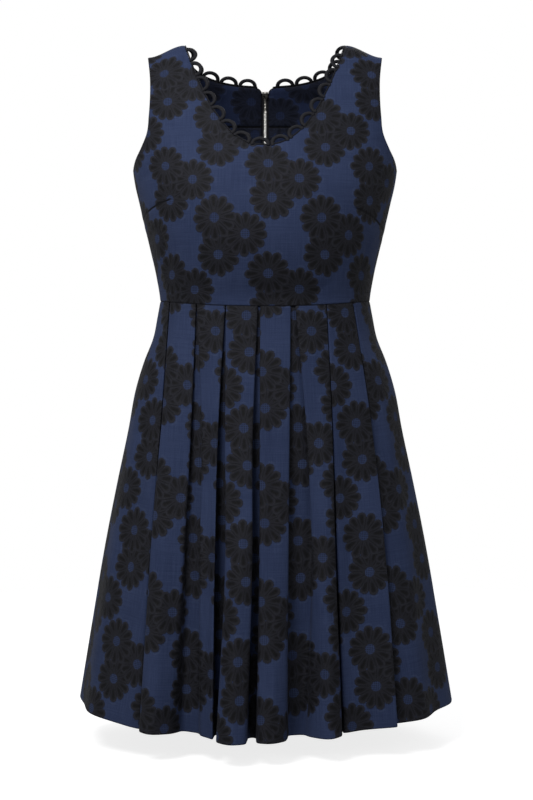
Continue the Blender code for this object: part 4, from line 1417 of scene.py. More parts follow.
@dataclass
class Bodice:
    """The fitted bodice: a front in one piece and two back halves beside the zip."""

    finishes: Finishes
    columns: int = 74
    lower_rows: int = 76
    upper_rows: int = 84
    darts: dict[Side, Rows] = field(default_factory=lambda: {
        Side.RIGHT: ((40.5, 0.211), (87.0, 0.238)), Side.LEFT: ((39.0, 0.222), (87.0, 0.256)),
    })
    dart_intake: float = 0.018
    creases: tuple[Crease, ...] = tuple(Crease(facing, *row) for facing, rows in (
        (Facing.FRONT, (
            ((-59, 0.243), (-56, 0.3), 0.005, 0.0022), ((-66, 0.255), (-63, 0.33), 0.007, -0.0012),
            ((60, 0.262), (57, 0.322), 0.006, 0.0016), ((70, 0.19), (48, 0.172), 0.007, 0.0012),
            ((-70, 0.186), (-50, 0.165), 0.008, 0.0014), ((-34, 0.328), (-20, 0.3), 0.008, 0.001),
            ((24, 0.336), (38, 0.312), 0.007, 0.0011), ((78, 0.25), (58, 0.238), 0.006, 0.0012),
            ((-76, 0.262), (-60, 0.247), 0.0055, 0.001), ((52, 0.105), (38, 0.138), 0.009, 0.0012),
            ((-50, 0.098), (-36, 0.132), 0.0085, 0.001),
        )),
        (Facing.BACK, (
            ((20, 0.322), (44, 0.306), 0.007, 0.0014), ((-18, 0.312), (-47, 0.3), 0.008, 0.0012),
            ((12, 0.288), (36, 0.27), 0.008, 0.0012), ((-14, 0.282), (-32, 0.262), 0.007, 0.0013),
            ((74, 0.205), (52, 0.176), 0.008, 0.0014), ((-74, 0.21), (-50, 0.184), 0.009, 0.0012),
            ((60, 0.255), (64, 0.318), 0.007, 0.0012), ((-58, 0.25), (-62, 0.312), 0.006, 0.0013),
        )),
    ) for row in rows)
    edges: dict[str, Pair] = field(default_factory=dict)

    def stops(self) -> Pair:
        """Row stops below and above the underarm."""
        return graded(self.lower_rows, 0.19, end=False), graded(self.upper_rows, 0.19, start=False)

    def dart_line(self, side: Side) -> Array:
        """Points of a bust dart's seam, from its tip to the side seam."""
        parts = np.linspace(0, 1, 40)
        (tip_angle, tip_drop), (foot_angle, foot_drop) = self.darts[side]
        angle = np.radians(tip_angle + (foot_angle - tip_angle) * parts)
        drop = tip_drop + (foot_drop - tip_drop) * parts ** 1.15
        return FORM.point(side.value * angle, -np.sqrt(drop))

    def dart_fields(self, points: Array, side: Side) -> Pair:
        """The signed distance to the dart, less below it, and the cloth it takes in."""
        line = self.dart_line(side)
        off = line_field(points, line)
        length = along(line)
        order = np.argsort(side.value * line[:, 0])
        level = np.interp(side.value * points[..., 0], side.value * line[order, 0], line[order, 2])
        beyond = ease((side.value * points[..., 0] - side.value * line[0, 0]) / length[-1])
        return np.where(points[..., 2] < level, -off, off), beyond * self.dart_intake

    def half(self, facing: Facing, side: Side) -> Sheet:
        """One half panel as a grid.

        Args:
            facing: The front or back panel.
            side: The wearer's side.

        Returns:
            The grid.
        """
        stops = self.stops()
        angle, rise = FORM.patch(facing, graded(self.columns, 0.17), stops)
        angle = angle * side.value
        points, normals = FORM.point(angle, rise), FORM.normal(angle, rise)
        split = self.lower_rows
        rows = along(points, axis=1)
        climb = along(points, axis=0)
        edge = np.minimum(rows, np.minimum(climb, climb[-1:] - climb))
        centre = line_field(points, points[split:, -1] if facing is Facing.FRONT else points[:, -1])
        edge = np.minimum(edge, centre)
        inset = sum((crease.field(points) for crease in self.creases if crease.facing is facing),
                    np.zeros_like(edge))
        fields = {"edge": edge, "dart": np.ones_like(edge), "shift": np.zeros_like(edge)}
        if facing is Facing.FRONT:
            fields["dart"], fields["shift"] = self.dart_fields(points, side)
            near = np.abs(fields["dart"])
            taken = fields["shift"] / self.dart_intake
            inset = inset + taken * 0.0011 * np.exp(-((near / 0.003) ** 2))
            inset = inset - taken * 0.0009 * np.exp(-(((near - 0.007) / 0.006) ** 2))
        inset = inset * ease(edge / 0.012)
        inner = points - normals * (inset + CLOTH.wall)[..., None]
        # inner edges meet the next piece, so no light passes a seam
        inner[:split + 1, 0, 1] = 0.0
        seam = np.full(angle.shape[1], FORM.seam_rise)
        inner[-1] = FORM.point(angle[-1], seam) - FORM.normal(angle[-1], seam) * CLOTH.wall
        sheet = Sheet(
            points - normals * (inset + CLOTH.roll(edge))[..., None], inner,
            FORM.cut_place(angle, rise, facing), fields,
        )
        self.note_edges(sheet, normals, facing, side)
        return sheet

    def note_edges(self, sheet: Sheet, normals: Array, facing: Facing, side: Side) -> None:
        """Keep the lines that stitches follow, beside the armhole and the zip."""
        name = facing.name.lower() + "_" + side.name.lower()
        armhole = slice(self.lower_rows, None)
        self.edges["armhole_" + name] = beside(sheet.outer[armhole], normals[armhole], 0.0017)
        if facing is Facing.BACK:
            rows = slice(0, self.lower_rows - 2)
            self.edges["zip_" + name] = beside(sheet.outer[rows, ::-1], normals[rows, ::-1], 0.0062)

    def build(self) -> None:
        """Make the front and the two backs."""
        finishes = [self.finishes.cloth, self.finishes.lining]
        halves = [self.half(Facing.FRONT, side) for side in Side]
        lay_cloth("bodice_front", "front_bodice", halves, finishes)
        for side in Side:
            name = side.name.lower()
            lay_cloth("bodice_back_" + name, "back_bodice_" + name, [self.half(Facing.BACK, side)], finishes)


@dataclass
class NeckFacing:
    """The back neck facing: a band of the same cloth inside the back neck, in halves."""

    finishes: Finishes
    columns: int = 40
    lower_rows: int = 18
    upper_rows: int = 70
    lower_from: float = 0.75
    column_from: float = 0.5
    tape_from: float = 0.75
    tape_to: float = 0.875
    tape_rise: float = 0.0015
    ease_depth: float = 0.0008
    # the drop of a painted shade line across the facing, and that line's strength, which also moves the
    # print below it
    hem_drop: float = 0.096
    hem_shade_line: float = 0.001

    def build(self) -> None:
        """Make both halves."""
        lower = self.lower_from + (1 - self.lower_from) * graded(self.lower_rows, 0.045, end=False)
        upper = graded(self.upper_rows, 0.19, start=False)
        share = self.column_from + (1 - self.column_from) * graded(self.columns, 0.06)
        angle, rise = FORM.patch_above(Facing.BACK, share, (lower, upper))
        for side in Side:
            turned = angle * side.value
            points, normals = FORM.point(turned, rise), FORM.normal(turned, rise)
            over_tape = self.tape_rise * ease((share - self.tape_from) / (self.tape_to - self.tape_from))
            inset = np.broadcast_to(CLOTH.wall + CLOTH.seam_gap + over_tape, angle.shape)
            rows, climb = along(points, axis=1), along(points, axis=0)
            edge = np.minimum(np.minimum(rows, rows[:, -1:] - rows), np.minimum(climb, climb[-1:] - climb))
            wave = self.ease_depth * np.sin(rows / 0.021 + 1.3 * side.value) * ease(1 - climb / 0.05)
            inset = inset + (wave + self.ease_depth) * ease(edge / 0.01)
            sheet = Sheet(
                points - normals * inset[..., None],
                points - normals * (inset + CLOTH.facing_wall - CLOTH.roll(edge))[..., None],
                FORM.cut_place(turned, rise, Facing.BACK),
                {
                    # painted shade: a dark line across the facing at the hem drop, with the print moved a
                    # millimetre below it
                    "edge": edge, "dart": points[..., 2] + self.hem_drop,
                    "shift": np.full_like(edge, self.hem_shade_line),
                },
            )
            name, finishes = side.name.lower(), [self.finishes.lining, self.finishes.facing]
            lay_cloth("facing_back_" + name, "back_facing_" + name, [sheet], finishes, Slot.FACING)


# -------- skirt


@dataclass(frozen=True)
class Softness:
    """How round the folds are, and how finely the cloth is laid."""

    waist: float = 0.0013
    hem: float = 0.0075
    panel_stations: int = 21
    turn_stations: int = 8
    run_stations: int = 4
    tuck_stations: int = 8
    underlay_stations: int = 4
    panel_points: int = 25

    def radius(self, share: float) -> float:
        """The reach of the rounding at a share of the length."""
        return self.waist + (self.hem - self.waist) * share ** 1.2


@dataclass(frozen=True)
class Trough:
    """A soft lengthwise crease of the skirt, by the x of its ends and its shares."""

    top_x: float
    end_x: float
    top: float
    end: float
    width: float
    depth: float

    def field(self, ring: Ring, distance: Array) -> Array:
        """How far the crease sets the ring in at each distance along it."""
        part = (ring.share - self.top) / (self.end - self.top)
        if not 0 < part < 1:
            return np.zeros_like(distance)
        centre = ring.place(self.top_x + (self.end_x - self.top_x) * part)
        fade = math.sin(math.pi * part) ** 0.7
        return self.depth * fade * np.exp(-(((distance - centre) / self.width) ** 2))


@dataclass
class Skirt:
    """The pleated skirt: a front and two back halves, each a path of panels and pleats."""

    finishes: Finishes
    rings: int = 104
    softness: Softness = Softness()
    hem_fold: float = 0.03
    hem_extra: float = 0.0005
    zip_share: float = (0.053 + 0.5 - 0.341) / 0.527
    zip_closing: float = 0.03
    front_panels: tuple[Panel, ...] = tuple(Panel(*row) for row in (
        (None, (-0.126, -0.136, -0.147, -0.161), (0.0, 0.005, -0.001, 0.006, 0.01)),
        ((-0.124, -0.134, -0.146, -0.16), (-0.089, -0.096, -0.106, -0.123), (0.0, -0.004, 0.02)),
        ((-0.088, -0.083, -0.088, -0.089), (-0.051, -0.06, -0.064, -0.067), (0.03, 0.024, 0.014)),
        ((-0.05, -0.051, -0.051, -0.062), (-0.009, -0.015, -0.015, -0.023), (0.002, -0.01, -0.004)),
        ((-0.006, -0.007, -0.008, -0.011), (0.033, 0.032, 0.031, 0.028), (0.004, 0.0, 0.016)),
        ((0.039, 0.054, 0.062, 0.06), (0.079, 0.088, 0.094, 0.105), (0.034, 0.01, 0.022)),
        ((0.08, 0.089, 0.096, 0.108), (0.114, 0.14, 0.158, 0.175), (0.034, 0.03, 0.008)),
        ((0.115, 0.142, 0.16, 0.178), None, (0.026, 0.006, 0.009, -0.001, 0.0)),
    ))
    back_panels: tuple[Panel, ...] = tuple(Panel(*row) for row in (
        (None, (0.031, 0.034, 0.038, 0.04), (0.0, -0.002, 0.012)),
        ((0.033, 0.046, 0.056, 0.066), (0.07, 0.079, 0.087, 0.098), (0.03, 0.006, 0.018)),
        ((0.071, 0.084, 0.096, 0.114), (0.108, 0.126, 0.14, 0.158), (0.026, 0.004, 0.01)),
        ((0.109, 0.132, 0.15, 0.17), None, (0.03, 0.004, 0.012, -0.001, 0.0)),
    ))
    front_pleats: Rows = (
        (0.002, 0.026), (-0.004, 0.04), (0.002, 0.042), (-0.001, 0.034),
        (-0.004, 0.046), (0.004, 0.046), (0.004, 0.04),
    )
    back_pleats: Rows = ((-0.003, 0.042), (0.002, 0.04), (0.002, 0.042))
    back_shifts: dict[Side, float] = field(default_factory=lambda: {Side.LEFT: 0.0, Side.RIGHT: 0.006})
    front_troughs: tuple[Trough, ...] = tuple(Trough(*row) for row in (
        (-0.106, -0.128, 0.1, 0.95, 0.01, 0.0035), (-0.07, -0.078, 0.22, 0.98, 0.008, 0.003),
        (-0.033, -0.04, 0.06, 0.62, 0.009, 0.0026), (-0.024, -0.05, 0.48, 1.1, 0.011, -0.0035),
        (0.012, 0.008, 0.15, 0.9, 0.008, 0.0028), (0.062, 0.086, 0.12, 0.8, 0.009, 0.0034),
        (0.1, 0.134, 0.2, 1.05, 0.01, 0.0036), (0.132, 0.2, 0.08, 0.92, 0.012, 0.0032),
        (-0.136, -0.205, 0.12, 0.88, 0.013, 0.0034), (-0.131, -0.18, 0.3, 1.08, 0.009, -0.0026),
        (0.15, 0.214, 0.34, 1.1, 0.01, -0.0028),
    ))
    back_troughs: tuple[Trough, ...] = tuple(Trough(*row) for row in (
        (0.014, 0.02, 0.45, 1.06, 0.01, 0.003), (0.052, 0.08, 0.1, 0.85, 0.009, 0.0032),
        (0.09, 0.134, 0.18, 1.02, 0.01, 0.0034), (0.124, 0.196, 0.1, 0.9, 0.012, 0.0036),
        (0.06, 0.098, 0.5, 1.12, 0.009, -0.0026), (0.134, 0.215, 0.4, 1.08, 0.01, -0.0028),
    ))
    edges: dict[str, Pair] = field(default_factory=dict)

    def corners(self, ring: Ring, panels: tuple[Panel, ...], pleats: Rows, first: float) -> tuple:
        """The corner path of one ring, over the panels and down into the pleats.

        Args:
            ring: The ring that the cloth lies on.
            panels: Its panels in order.
            pleats: The tuck and depth at the hem of each pleat between them.
            first: The distance along the ring where the cloth starts.

        Returns:
            Distances, insets, and the index of each named corner in turn.
        """
        share, path, marks = ring.share, [], []
        shares = np.array(SKIRT.fold_shares)
        ends = [
            [
                open_end if fold is None else float(ring.place(smooth(shares, np.array(fold), share)))
                for fold, open_end in ((panel.first, first), (panel.last, ring.length[-1]))
            ]
            for panel in panels
        ]
        for number, (panel, (start, end)) in enumerate(zip(panels, ends)):
            marks.append(len(path))
            for part in np.linspace(0, 1, self.softness.panel_points):
                path.append((start + (end - start) * part, float(panel.inset(part, share))))
            marks.append(len(path) - 1)
            if number == len(panels) - 1:
                continue
            hem_tuck, hem_depth = pleats[number]
            tuck = SKIRT.waist_tuck + (hem_tuck - SKIRT.waist_tuck) * share
            following, (next_start, next_end) = panels[number + 1], ends[number + 1]
            here, there = float(panel.inset(1.0, share)), float(following.inset(0.0, share))
            part_here = 1 - max(tuck, 0) / (end - start)
            part_there = max(tuck, 0) / (next_end - next_start)
            back_here = max(here, float(panel.inset(part_here, share))) + SKIRT.fold_stack
            back_there = max(there, float(following.inset(part_there, share))) + SKIRT.fold_stack
            floor = max(back_here, back_there) + SKIRT.underlay_stack - SKIRT.fold_stack
            depth = floor + max(hem_depth - max(panel.insets[-1], following.insets[0]), 0) * share
            drop_here = (depth - back_here) * 0.6 * share + SKIRT.return_clearance
            drop_there = (depth - back_there) * 0.6 * share + SKIRT.return_clearance
            marks += list(range(len(path), len(path) + 7))
            path += [
                (end, here + SKIRT.fold_stack), (end - tuck, back_here + drop_here), (end - tuck, depth),
                ((end + next_start) / 2, depth), (next_start + tuck, depth),
                (next_start + tuck, back_there + drop_there), (next_start, there + SKIRT.fold_stack),
            ]
        distance, inset = np.array(path).T
        return distance, inset, marks

    def half_pleat(self, fold: float, back: float, tuck: float, floor: float, middle: float, reach: float):
        """Station places from a fold down to the middle of the underlay.

        Args:
            fold: The fold's place along the path.
            back: Where the return starts behind it.
            tuck: Where the return ends.
            floor: Where the underlay starts.
            middle: The underlay's middle.
            reach: How far the fold's rounding spreads.

        Returns:
            The station places, in order.
        """
        soft = self.softness
        near = min(reach, (tuck - back) * 0.42)
        last = min(reach, (middle - floor) * 0.42)
        turn = np.linspace(fold - reach, back + near, soft.turn_stations)
        run = np.linspace(back + near, tuck - near, soft.run_stations)[1:-1]
        corner = np.linspace(tuck - near, floor + last, soft.tuck_stations)
        under = np.linspace(floor + last, middle, soft.underlay_stations)[1:]
        return np.concatenate([turn, run, corner, under])

    def stations(self, places: Array, panels: int, reach: float) -> Pair:
        """Station places along a ring's path, the same in number on every ring.

        Args:
            places: The path places of the named corners.
            panels: How many panels there are.
            reach: The rounding's reach.

        Returns:
            The places, and the index of the panel that each cell's cloth belongs to.
        """
        stops, owner = [], []
        crowd = np.array([0.0, 0.0003, 0.0007, 0.0013, 0.0022])
        for number in range(panels):
            start, end = places[9 * number:9 * number + 2]
            low = start + crowd if number == 0 else np.array([start + reach])
            high = end - crowd[::-1] if number == panels - 1 else np.array([end - reach])
            inner = np.linspace(low[-1], high[0], self.softness.panel_stations)[1:-1]
            ends = (low if number == 0 else [], inner, high if number == panels - 1 else [])
            stops.append(np.concatenate(ends))
            owner += [number] * len(stops[-1])
            if number == panels - 1:
                continue
            corner = 9 * number
            back, tuck, floor, middle, floor_2, tuck_2, back_2, fold_2 = places[corner + 2:corner + 10]
            first = self.half_pleat(end, back, tuck, floor, middle, reach)
            second = -self.half_pleat(-fold_2, -back_2, -tuck_2, -floor_2, -middle, reach)[::-1]
            stops += [first, second[1:]]
            soft = self.softness
            kept = len(first) + soft.underlay_stations + soft.tuck_stations + soft.run_stations - 5
            owner += [number + 0.25] * kept + [number + 0.75] * (len(first) + len(second) - 1 - kept)
        return np.concatenate(stops), np.array(owner)

    @staticmethod
    def rounded(points: Array, stops: Array, reach: float) -> Array:
        """A path with its corners rounded, by its mean over a reach on both sides.

        Args:
            points: The corner path.
            stops: Places along it to read.
            reach: How far the mean goes each way, less near the ends.

        Returns:
            The rounded points.
        """
        length = along(points)
        steps = np.diff(length)[:, None]
        total = np.vstack([np.zeros((1, 3)), np.cumsum((points[1:] + points[:-1]) / 2 * steps, axis=0)])

        def summed(at: Array) -> Array:
            index = np.clip(np.searchsorted(length, at) - 1, 0, len(steps) - 1)
            rest = (at - length[index])[:, None]
            slope = (points[index + 1] - points[index]) / np.maximum(steps[index], 1e-12)
            return total[index] + points[index] * rest + slope * rest ** 2 / 2

        spread = np.minimum(reach, np.minimum(stops - length[0], length[-1] - stops))
        wide = np.maximum(spread, 1e-7)
        mean = (summed(stops + wide) - summed(stops - wide)) / (2 * wide[:, None])
        return np.where((spread > 1e-6)[:, None], mean, read_line(points, length, stops))

    def grid(self, facing: Facing, panels: tuple[Panel, ...], pleats: Rows,
             troughs: tuple[Trough, ...]) -> tuple[Sheet, Array]:
        """A skirt piece as a grid of rings, from the waist to the hem.

        Args:
            facing: The front or the back.
            panels: The panels in order.
            pleats: The tuck and depth at the hem of each pleat between them.
            troughs: Its soft creases.

        Returns:
            The grid, and the outward directions over it.
        """
        shares = graded(self.rings, SKIRT.length)
        outer, owner = [], None
        for share in shares:
            ring = Ring(facing, share)
            first = ring.length[0]
            if facing is Facing.BACK:
                closing = ease((share - self.zip_share) / self.zip_closing)
                first = ring.place(FORM.zip_opening + (CLOTH.seam_gap / 2 - FORM.zip_opening) * closing)
            distance, inset, marks = self.corners(ring, panels, pleats, float(first))
            seam = np.minimum(distance - distance[0], distance[-1] - distance)
            crease = sum((trough.field(ring, distance) for trough in troughs), np.zeros_like(distance))
            path = ring.points(distance, inset + crease * ease(seam / 0.02))
            reach = self.softness.radius(share)
            stops, owner = self.stations(along(path)[marks], len(panels), reach)
            outer.append(self.rounded(path, stops, reach))
        outer = np.array(outer)
        edges = unit(np.diff(outer, axis=1))
        tangents = np.concatenate([edges[:, :1], unit(edges[:, 1:] + edges[:, :-1]), edges[:, -1:]], axis=1)
        level = np.zeros(tangents.shape[:2])
        normals = unit(np.stack([-tangents[..., 1], tangents[..., 0], level], axis=-1))
        normals = normals * facing.value
        climb, span = along(outer, axis=0), along(outer, axis=1)
        down = np.median(climb, axis=1, keepdims=True)
        wall = CLOTH.skirt_wall + self.hem_extra * ease((down - down[-1] + self.hem_fold) / 0.0015)
        inner = outer - normals * wall[..., None]
        # inner edges meet the next piece, so no light passes a seam
        inner[0, :, 2] += CLOTH.seam_gap
        for end in (0, -1):
            if abs(outer[0, end, 0]) < 0.05:
                x = outer[:, end, 0]
                inner[:, end, 0] = np.where(x < 2 * CLOTH.seam_gap, 0.0, x)
            else:
                inner[:, end, 1] = 0.0
        edge = np.minimum(np.minimum(down, down[-1] - down), np.minimum(span, span[:, -1:] - span))
        outer = outer - normals * CLOTH.roll(edge)[..., None]
        fields = {"edge": edge, "dart": np.ones_like(edge), "shift": np.zeros_like(edge)}
        return Sheet(outer, inner, self.cut_corners(span, down, owner), fields), normals

    def cut_corners(self, span: Array, down: Array, owner: Array) -> Array:
        """The place on the cut of each cell's corners, gore by gore.

        Args:
            span: Distance along each ring.
            down: Distance down from the waist of each ring.
            owner: The gore of each cell's column, a quarter off in its pleats.

        Returns:
            Corner places; a gore is cut straight about the middle of its face panel.
        """
        cells = np.arange(span.shape[1] - 1)
        gores = np.rint(owner[:len(cells)])
        across = np.zeros((len(span), len(cells), 2))
        for gore in np.unique(gores):
            own, face = cells[gores == gore], cells[owner[:len(cells)] == gore]
            middle = (span[:, face[0]] + span[:, face[-1]])[:, None] / 2
            offset = middle[len(span) // 2, 0]
            across[:, own, 0] = span[:, own] - middle + offset
            across[:, own, 1] = span[:, own + 1] - middle + offset
        fall = np.broadcast_to(-down, span.shape)
        left = np.stack([across[..., 0], fall[:, :-1]], axis=-1)
        right = np.stack([across[..., 1], fall[:, 1:]], axis=-1)
        return np.stack([left[:-1], right[:-1], right[1:], left[1:]], axis=2)

    def build(self) -> None:
        """Make the front skirt and the two back halves."""
        finishes = [self.finishes.skirt, self.finishes.lining]
        sheet, _ = self.grid(Facing.FRONT, self.front_panels, self.front_pleats, self.front_troughs)
        lay_cloth("skirt_front", "front_skirt", [sheet], finishes)
        for side in Side:
            name = side.name.lower()
            panels = tuple(panel.moved(self.back_shifts[side]) for panel in self.back_panels)
            sheet, normals = self.grid(Facing.BACK, panels, self.back_pleats, self.back_troughs)
            line, away = beside(sheet.outer, normals, 0.0062)
            keep = line[:, 2] > -FORM.waist_drop - (self.zip_share - 0.01) * SKIRT.length
            flip = np.array([side.value, 1.0, 1.0])
            self.edges["zip_" + name] = line[keep] * flip, away[keep] * flip
            if side is Side.RIGHT:
                sheet = sheet.mirrored()
            lay_cloth("skirt_back_" + name, "back_skirt_" + name, [sheet], finishes)


# -------- neck loops


@dataclass
class NeckLoops:
    """The row of cord arches that stands on the neck edge, on a thin cord of its own."""

    finishes: Finishes
    pitch: float = 0.0264
    arch_radius: float = 0.0106
    cord_radius: float = 0.0027
    arch_height: float = 0.86
    band_radius: float = 0.0009
    front_shift: float = -0.006
    back_shifts: dict[Side, float] = field(default_factory=lambda: {Side.LEFT: 0.026, Side.RIGHT: 0.0224})
    end_gap: float = 0.002
    zip_gap: float = 0.009
    foot_room: float = 0.0125

    def neck_line(self, facing: Facing) -> tuple[Array, Array, Array]:
        """Points of the neck edge, with the outward and the upward direction at each."""
        stops = (np.array([0.0, 1.0]), np.linspace(0, 1, 260))
        angle, rise = (line[1:] for line in FORM.inner_edge(facing, stops))
        if facing is Facing.FRONT:
            angle = np.concatenate([-angle[:0:-1], angle])
            rise = np.concatenate([rise[:0:-1], rise])
        normal = FORM.normal(angle, rise)
        edge = FORM.point(angle, rise) - normal * CLOTH.wall / 2
        tangent = unit(np.gradient(edge, axis=0))
        up = unit(np.cross(tangent, normal))
        inward = np.stack([-edge[:, 0], np.zeros(len(edge)), 0.05 - edge[:, 2]], axis=1)
        return edge, normal, up * np.sign(np.sum(up * inward, axis=1))[:, None]

    def line(self, facing: Facing, shift: float) -> Line:
        """The neck edge as a line whose arch places carry a copy."""
        edge, _, up = self.neck_line(facing)
        length = along(edge)
        length = length - (length[-1] / 2 if facing is Facing.FRONT else 0.0)
        low = length[0] + (self.end_gap if facing is Facing.FRONT else self.zip_gap)
        high = length[-1] - self.end_gap
        lowest, highest = math.ceil((low - shift) / self.pitch), math.floor((high - shift) / self.pitch)
        arches = shift + np.arange(lowest, highest + 1) * self.pitch
        room = (1.3, 1.3) if facing is Facing.FRONT else (0.72, 0.3)
        start, end = low + self.foot_room * room[0], high - self.foot_room * room[1]
        arches = arches[(arches > start) & (arches < end)]
        between = np.arange(low, high, 0.0022)
        between = between[np.min(np.abs(between[:, None] - arches), axis=1) > 0.0008]
        stops = np.sort(np.concatenate([between, arches]))
        at, tops = read_line(edge, length, stops), read_line(up, length, stops)
        along_line = unit(np.gradient(at, axis=0))
        return Line(at + tops * self.band_radius, along_line, unit(tops), np.isin(stops, arches))

    def build(self) -> None:
        """Make the front row and the two back rows."""
        sizes = {
            "Arch Radius": self.arch_radius, "Cord Radius": self.cord_radius,
            "Band Radius": self.band_radius, "Arch Height": self.arch_height, "Unevenness": 0.04,
        }
        tree = Repeats("cord_arches", sizes, None)
        rows = [("front", self.line(Facing.FRONT, self.front_shift))]
        for side in Side:
            line = self.line(Facing.BACK, self.back_shifts[side])
            flip = np.array([side.value, 1.0, 1.0])
            mirrored = Line(line.points * flip, line.along * flip, line.away * flip, line.carries)
            rows.append(("back_" + side.name.lower(), mirrored))
        for seed, (name, line) in enumerate(rows):
            piece = tree.run("loops_" + name, line, self.finishes.cord, seed + 3)
            settle(piece, Body.DRESS, Slot.CORD, "neck_loops_" + name)


# -------- zip


@dataclass
class Zip:
    """The exposed zip down the centre back: tapes, teeth, stop, slider and pull."""

    finishes: Finishes
    top_drop: float = 0.053
    length: float = 0.5
    chain_width: float = 0.0042
    chain_inset: float = 0.0014
    pitch: float = 0.0016
    tooth_length: float = 0.0026
    tooth_width: float = 0.00082
    tooth_height: float = 0.0019
    tape_edge: float = 0.0014
    tape_half_width: float = 0.012
    tape_wall: float = 0.001
    tape_lean: float = 0.0004
    bead: float = 0.0006

    def centre_line(self) -> Pair:
        """Points of the centre-back line of the cloth from the zip's top down, and outward."""
        drops = np.linspace(self.top_drop, FORM.waist_drop + FORM.back_waist_dip, 160)
        upper = np.stack([FORM.size("back", drops), -drops], axis=1)
        lower = []
        for share in np.linspace(0.004, 0.62, 90):
            ring = Ring(Facing.BACK, share)
            lower.append((ring.depth, float(ring.points(np.zeros(1), np.zeros(1))[0, 2])))
        line = np.vstack([upper, np.array(lower)])
        length = along(line)
        stops = np.linspace(0, self.length, 320)
        y, z = np.interp(stops, length, line[:, 0]), np.interp(stops, length, line[:, 1])
        points = np.stack([np.zeros(len(stops)), y, z], axis=1)
        downs = unit(np.gradient(points, axis=0))
        return points, np.stack([np.zeros(len(stops)), -downs[:, 2], downs[:, 1]], axis=1)

    def tape(self, side: Side, points: Array, outs: Array) -> Sheet:
        """One tape as a grid, with a round bead along the teeth."""
        reach = np.concatenate([
            self.tape_edge + self.bead * (1 - np.cos(np.linspace(0, math.pi, 7))),
            np.linspace(self.tape_edge + 3 * self.bead, self.tape_half_width, 9),
        ])
        bulge = self.bead * np.sin(np.clip((reach - self.tape_edge) / (2 * self.bead), 0, 1) * math.pi)
        lean = self.tape_lean * (reach - self.tape_edge) / (self.tape_half_width - self.tape_edge)
        base = CLOTH.wall + CLOTH.seam_gap + 0.0001 + lean
        face = np.broadcast_to(base - bulge * 0.5, (len(points), len(reach)))
        back = np.broadcast_to(base + self.tape_wall + bulge * 0.6, face.shape)
        across = np.zeros((1, len(reach), 3))
        across[0, :, 0] = reach * side.value
        length = np.broadcast_to(along(points)[:, None], face.shape)
        cut = np.stack([np.broadcast_to(reach * side.value, face.shape), -length], axis=-1)
        return Sheet(
            points[:, None] - outs[:, None] * face[..., None] + across,
            points[:, None] - outs[:, None] * back[..., None] + across, cut,
        )

    def build(self) -> None:
        """Make every piece of the zip."""
        points, outs = self.centre_line()
        for side in Side:
            name = "zip_tape_" + side.name.lower()
            sheet = self.tape(side, points, outs)
            tape = place_object(name + "_woven", wall_mesh(name, [sheet]), [self.finishes.tape] * 2)
            settle(tape, Body.DRESS, Slot.TAPE, name)
        self.build_teeth(points, outs)
        for node, body in (("zip_slider", Body.DRESS), ("zip_stop", Body.DRESS), ("zip_pull", Body.PULL)):
            self.build_hard(node, body)

    def build_teeth(self, points: Array, outs: Array) -> None:
        """Set the teeth on both tapes, one side half a pitch behind the other."""
        block = small_shape("tooth_shape", tooth_shape)
        sizes = {
            "Length": self.tooth_length, "Width": self.tooth_width,
            "Height": self.tooth_height, "Unevenness": 0.03,
        }
        tree = Repeats("zip_teeth", sizes, block)
        start, end = 2, 314
        rows = []
        for side, phase in ((Side.LEFT, 0.5), (Side.RIGHT, 1.0)):
            shift = np.array([side.value * (self.chain_width - self.tooth_length) / 2, 0.0, 0.0])
            line = points[start:end] - outs[start:end] * self.chain_inset + shift
            stops = Line.spaced(line, outs[start:end], self.pitch, phase)
            across = np.zeros_like(stops.points)
            across[:, 0] = side.value
            rows.append(Line(stops.points, across, stops.away))
        teeth = tree.run("zip_teeth", Line.joined(rows), self.finishes.metal, 5)
        bpy.data.objects.remove(block)
        settle(teeth, Body.DRESS, Slot.METAL, "zip_chain")

    def build_hard(self, node: str, body: Body) -> None:
        """Copy a hard piece of the frame with its edges softly broken."""
        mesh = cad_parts[node].data.copy()
        mesh.name = node + "_cast"
        builder = bmesh.new()
        builder.from_mesh(mesh)
        bmesh.ops.remove_doubles(builder, verts=builder.verts, dist=1e-6)
        bmesh.ops.dissolve_limit(
            builder, angle_limit=math.radians(2), verts=builder.verts, edges=builder.edges
        )
        sharp = [edge for edge in builder.edges if edge.calc_face_angle(0.0) > math.radians(30)]
        bmesh.ops.bevel(
            builder, geom=sharp, offset=0.00022, segments=2, profile=0.6, affect="EDGES", clamp_overlap=True
        )
        builder.to_mesh(mesh)
        builder.free()
        mesh.shade_smooth()
        mesh.set_sharp_from_angle(angle=math.radians(40))
        settle(place_object(node + "_cast", mesh, [self.finishes.metal]), body, Slot.METAL, node)


@dataclass
class Stitching:
    """Rows of topstitching beside the armholes and the zip."""

    finishes: Finishes
    length: float = 0.0021
    gap: float = 0.0006
    thickness: float = 0.00042

    def build(self, edges: dict[str, Pair]) -> None:
        """Lay a row of stitches on every kept line.

        Args:
            edges: The named lines on the cloth.
        """
        shape = small_shape("stitch_shape", stitch_shape)
        sizes = {
            "Length": self.length, "Width": self.thickness, "Height": self.thickness, "Unevenness": 0.12,
        }
        tree = Repeats("stitches", sizes, shape)
        rows = [Line.spaced(*edge, self.length + self.gap) for edge in edges.values()]
        piece = tree.run("topstitching", Line.joined(rows), self.finishes.thread, 9)
        bpy.data.objects.remove(shape)
        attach(piece, Body.DRESS.value)
        LOG.info("topstitching: %d stitches", sum(len(row.points) for row in rows))


# -------- studio


